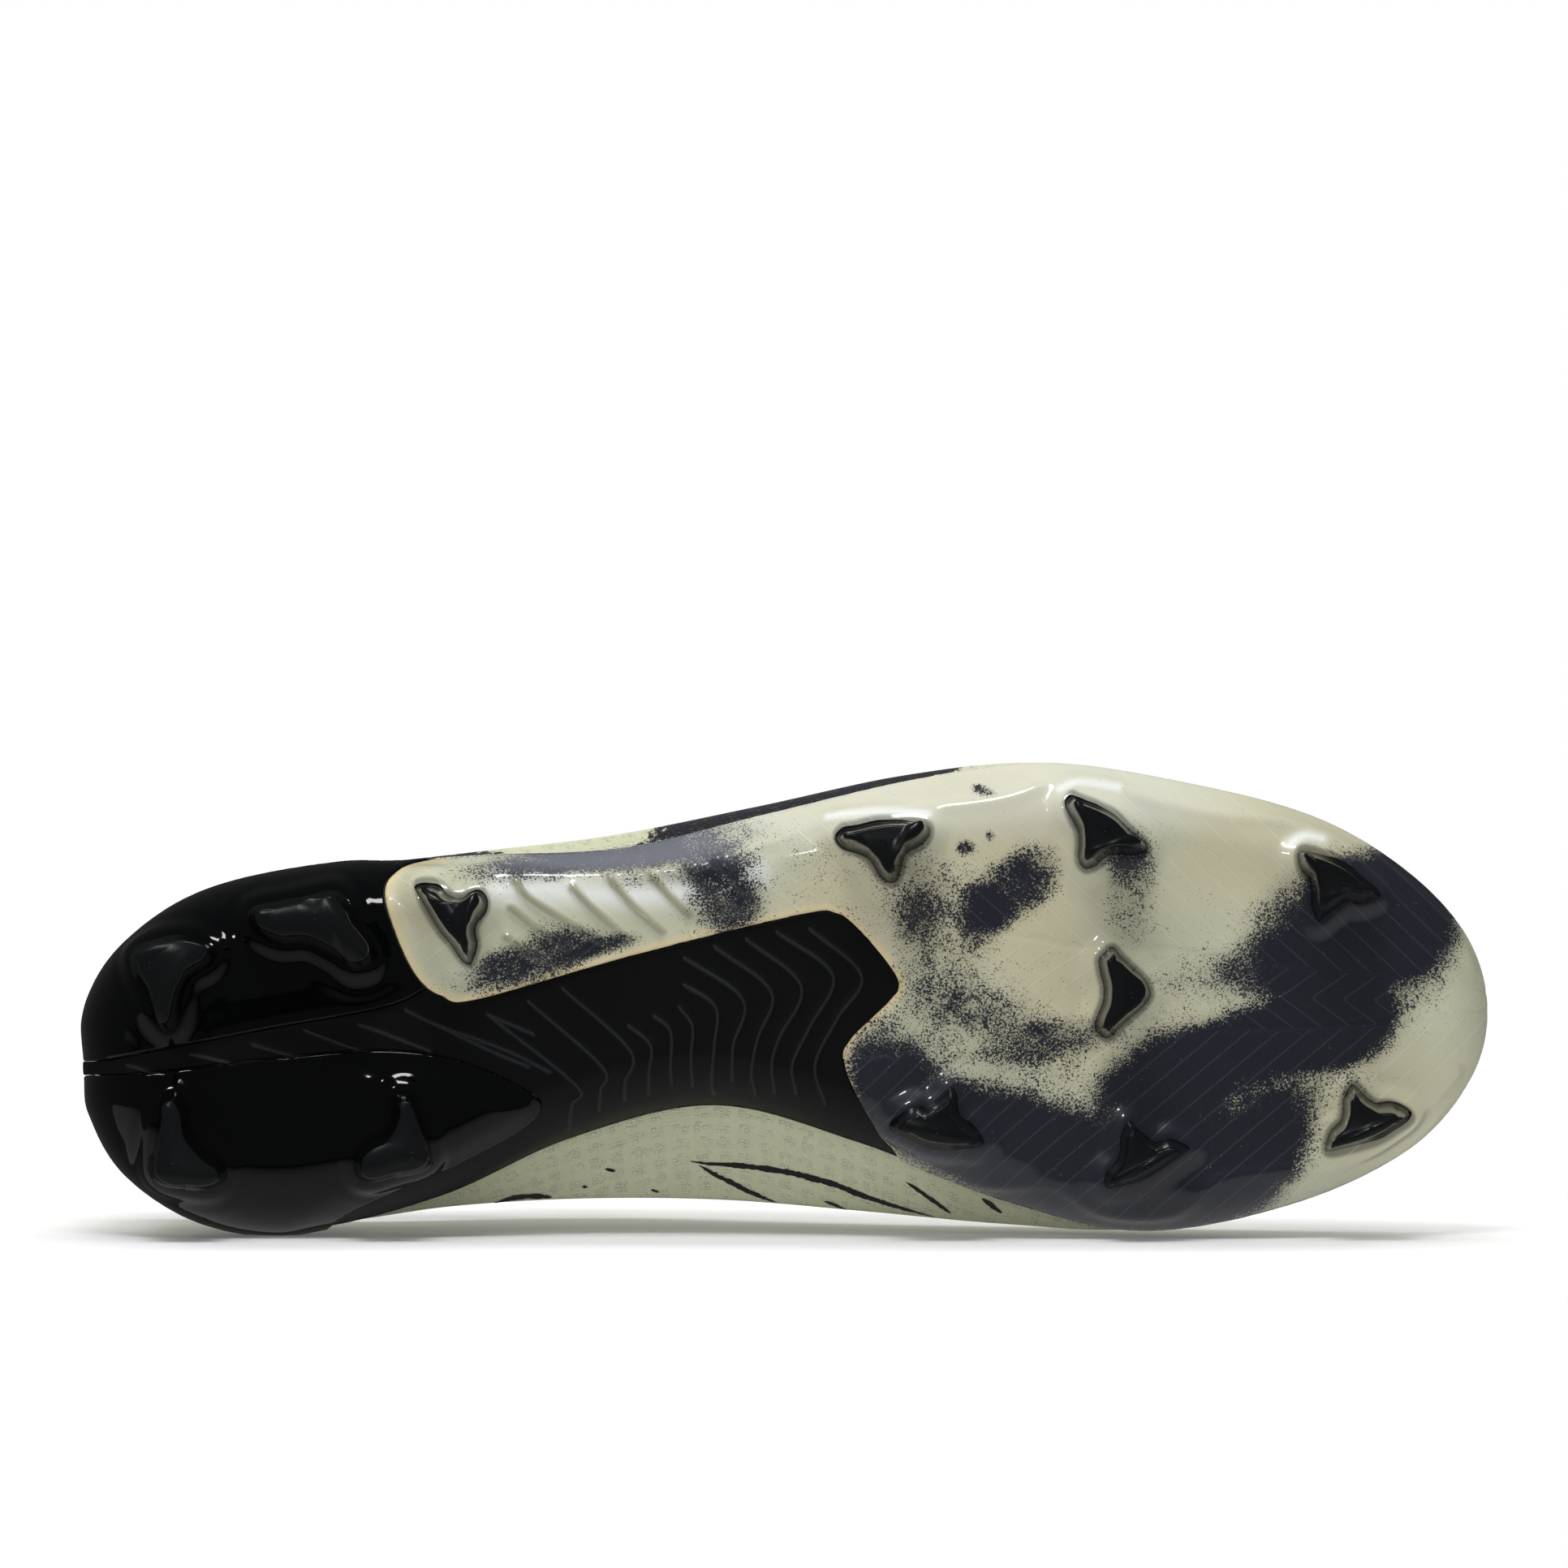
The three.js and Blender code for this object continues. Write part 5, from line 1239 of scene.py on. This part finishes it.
for (px, pz), (nx, nz), run_at in zip(outline_xz, normal_xz, loop_run):
    for s, r in section:
        tape_points.append((px + nx * r, s, pz + nz * r))
        tape_across.append(s)
        tape_along.append(run_at)
m, n = len(outline_xz), len(section)
tape_faces = [
    (i * n + j, ((i + 1) % m) * n + j, ((i + 1) % m) * n + (j + 1) % n, i * n + (j + 1) % n)
    for i in range(m) for j in range(n)]
tab = facing_out(build("pull_tab_body", tape_points, tape_faces, across=tape_across, along=tape_along))
keep(tab, "webbing", tape.material, "heel_pull_tab", body="pull_tab")
patch_fields = dict(across=lambda p, u, v: p[:, 1], along=lambda p, u, v: p[:, 2])
patch_u, patch_v = np.linspace(-0.5, 0.5, 20), np.linspace(2.72, 2.9, 24)
patch = wall_patch("pull_tab_patch_body", patch_u, patch_v, -1.2, -0.3, **patch_fields)
keep(patch, "webbing", tape.material, "pull_tab_patch")
SEWN_U, SEWN_V = 0.42, (2.735, 2.885)
box_u = np.concatenate([
    np.linspace(-SEWN_U, SEWN_U, 12), np.full(10, SEWN_U),
    np.linspace(SEWN_U, -SEWN_U, 12), np.full(10, -SEWN_U)])
box_v = np.concatenate([
    np.full(12, SEWN_V[0]), np.linspace(*SEWN_V, 10), np.full(12, SEWN_V[1]), np.linspace(*SEWN_V[::-1], 10)])
sewn_box = [upper_inset(box_u, box_v, -1.22)]
patch_row = stitch_row("pull_tab_patch_stitches", sewn_box, stitches, 0.22, 0.7, 1.9)
keep(patch_row, "webbing", thread_look.material)


# ---- Inside the shoe ----
# The insole's textile cover lies on its foam; it dips in at the edge.
def lying_sheet(name, inset, level, thickness):
    us = np.arange(0, TURN, 0.25)
    rows = [sole_point(us, inset + d, level) for d in (0, 0.3, 0.8, 1.6, 3)]
    tops = [level + thickness * k for k in (0.2, 0.8, 1, 1, 1)]
    upper_rows = [sole_point(us, inset + d, top) for d, top in zip((0, 0.3, 0.8, 1.6, 3), tops)]
    xs = np.clip(edge_at(us)[:, 0], 28, 255)
    centre = np.column_stack([xs, CENTRE_LINE(xs)])
    for group, depth in ((rows, level), (upper_rows, level + thickness)):
        last = group[4]
        step = last[:, 2] - rocker(last[:, 0]) - depth
        for s in (0.2, 0.4, 0.6, 0.8, 0.95):
            xy = last[:, :2] + (centre - last[:, :2]) * s
            group.append(np.column_stack([xy, rocker(xy[:, 0]) + depth + step * (1 - s)]))
    lower, upper = np.stack(rows, 1), np.stack(upper_rows, 1)
    n, m = lower.shape[:2]
    faces = wall_faces(n, m, True)
    faces = [f for f in faces if not all(k % m == m - 1 for k in f)]
    for i in range(n // 2):
        a, b, c, d = i, (i + 1), (n - i - 1), (n - i) % n
        for s in (0, 1):
            ring = [s * n * m + k * m + m - 1 for k in (a, b, c, d)]
            faces.append(tuple(dict.fromkeys(ring if s else ring[::-1])))
    faces = [f for f in faces if len(f) > 2]
    return facing_out(build(name, np.vstack([lower.reshape(-1, 3), upper.reshape(-1, 3)]), faces))


CENTRE_LINE = table([(28, 0), (60, -1), (100, -9), (130, -13), (170, -10), (210, -5), (255, 0)])
cover = lying_sheet("insole_cover_body", 10, 9.8, 0.7)
keep(cover, "lining", nap.material, "insole_cover")

# What lies between the layers keeps its plain shape: the printed film, the board, the foams and the
# stiffeners of the heel and the toe.
hidden = {
    "print_film": ((58, 59, 68), 0.6, 900, 0.05), "lasting_board": ((216, 210, 192), 0.9, 1800, 0.2),
    "insole_foam": ((42, 45, 51), 0.9, 1500, 0.3), "collar_pad_lateral": ((42, 45, 51), 0.9, 1500, 0.3),
    "collar_pad_medial": ((42, 45, 51), 0.9, 1500, 0.3), "heel_counter": ((185, 180, 166), 0.7, 2500, 0.1),
    "toe_puff": ((185, 180, 166), 0.7, 2500, 0.1)}
for name, (colour, roughness, scale, grain) in hidden.items():
    look = Look(name + "_look", Roughness=roughness)
    speckle = look.grain(scale, 3)
    dim = tuple(0.8 * c for c in srgb(*colour)[:3]) + (1.0,)
    look.set(Base_Color=look.mix(speckle, dim, srgb(*colour)))
    look.bump(speckle, grain, 0.5)
    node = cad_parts[name]
    node.data.materials.clear()
    node.data.materials.append(look.material)


# ---- Studio ----
# The shoe lies on its inner side on a white table and is seen square on to its sole; the same table
# also goes under the studs for views of the shoe standing up. Both tables have one face only.
def white_sheet(name, corners):
    sheet = build(name, corners, [(0, 1, 2, 3)], smooth=False)
    sheet.data.materials.append(paper.material)
    return sheet


paper = Look("white_paper", Base_Color=(0.9, 0.9, 0.9, 1), Roughness=0.9, Specular_IOR_Level=0.1,
             Emission_Color=(1, 1, 1, 1), Emission_Strength=0.08)
back_face = paper.add("NewGeometry", {}, out="Backfacing")
clear = paper.add("BsdfTransparent", {}, out=0)
seen = paper.add("MixShader", {0: back_face, 1: paper.bsdf.outputs[0], 2: clear})
paper.tree.links.new(seen, paper.tree.nodes["Material Output"].inputs["Surface"])
side_table = white_sheet("side_table", [
    (-300, 24.3, -150), (580, 57.2, -150), (580, 57.2, 150), (-300, 24.3, 150)])
side_table.visible_glossy = False
standing_table = white_sheet("standing_table", [
    (-900, -900, -0.2), (1180, -900, -0.2), (1180, 900, -0.2), (-900, 900, -0.2)])
standing_table.visible_shadow = False
standing_table.visible_glossy = False
standing_table.visible_diffuse = False

# A dim grey card beside the table is seen in the polished black plastic only.
card = Look("grey_card", Base_Color=(0, 0, 0, 1), Emission_Color=(1, 1, 1, 1), Specular_IOR_Level=0.0)
card_z = card.add("SeparateXYZ", {0: card.place}, out="Z")
card.set(Emission_Strength=card.span(card_z, -0.22, 0.0, 0.0, 0.3))
card_corners = [(-300, 60, -260), (580, 60, -260), (580, 60, 60), (-300, 60, 60)]
mirror_card = build("mirror_card", card_corners, [(0, 1, 2, 3)])
mirror_card.data.materials.append(card.material)
mirror_card.visible_camera = mirror_card.visible_diffuse = mirror_card.visible_shadow = False


def soft_light(name, place, target, size, energy, glossy=True):
    lamp = bpy.data.lights.new(name, "AREA")
    lamp.shape = "RECTANGLE"
    lamp.size, lamp.size_y = size
    lamp.energy = energy
    made = bpy.data.objects.new(name, lamp)
    bpy.context.collection.objects.link(made)
    place, target = Vector(metres(place)), Vector(metres(target))
    aim = (target - place).to_track_quat("-Z", "Y").to_matrix().to_4x4()
    made.matrix_world = Matrix.Translation(place) @ aim
    made.visible_glossy = glossy
    made.visible_camera = False
    return made


SOLE_MIDDLE = (140, 0, 10)
soft_light("key_over_the_outer_side", (130, -860, -420), SOLE_MIDDLE, (0.32, 0.18), 2.6)
soft_light("high_soft_box", (140, -850, 330), (140, 0, 20), (1.1, 0.3), 4.6, glossy=False)
soft_light("low_soft_box", (140, -900, -240), SOLE_MIDDLE, (1.2, 0.4), 4.2, glossy=False)
soft_light("fill_at_the_sole", (-200, -250, -1300), SOLE_MIDDLE, (0.9, 0.9), 2.6, glossy=False)
soft_light("small_window", (-250, -620, -900), SOLE_MIDDLE, (0.1, 0.1), 0.7)
soft_light("over_the_shoe", (100, -300, 1100), (120, 0, 40), (1.4, 1.0), 4, glossy=False)

# The air is white to the camera, dim in the plastic's gloss, and a soft fill for the rest.
world = bpy.data.worlds.new("studio_air")
bpy.context.scene.world = world
world.use_nodes = True
sky = world.node_tree
paths = sky.nodes.new("ShaderNodeLightPath")
ambient = sky.nodes["Background"]
ambient.inputs["Color"].default_value = (1, 1, 1, 1)
glow = sky.nodes.new("ShaderNodeMapRange")
sky.links.new(paths.outputs["Is Glossy Ray"], glow.inputs["Value"])
FILL, IN_GLOSS, TO_CAMERA = 0.18, 0.05, 1.0
glow.inputs["To Min"].default_value = FILL
glow.inputs["To Max"].default_value = IN_GLOSS
pick = sky.nodes.new("ShaderNodeMix")
sky.links.new(paths.outputs["Is Camera Ray"], pick.inputs[0])
sky.links.new(glow.outputs[0], pick.inputs[2])
pick.inputs[3].default_value = TO_CAMERA
sky.links.new(pick.outputs[0], ambient.inputs["Strength"])

# The camera looks square on at the sole, turned a little about its own axis. It takes in VIEW_WIDTH
# metres at the level of the widest line, FACE_LEVEL over the ground.
DISTANCE, FACE_LEVEL, VIEW_WIDTH, SENSOR = 1.49, 0.026, 0.3148, 36
TURNED = math.radians(2.14)
eye = Vector(metres((*VIEW_CENTRE, 0))) - Vector((0, 0, DISTANCE))
camera_data = bpy.data.cameras.new("camera")
camera_data.sensor_width = SENSOR
camera_data.lens = SENSOR * (DISTANCE + FACE_LEVEL) / VIEW_WIDTH
camera = bpy.data.objects.new("camera", camera_data)
bpy.context.collection.objects.link(camera)
right = Vector((math.cos(TURNED), math.sin(TURNED), 0))
up = Vector((math.sin(TURNED), -math.cos(TURNED), 0))
back = right.cross(up)
camera.matrix_world = Matrix.Translation(eye) @ Matrix((right, up, back)).transposed().to_4x4()
bpy.context.scene.camera = camera
bpy.context.scene.view_settings.view_transform = "Standard"
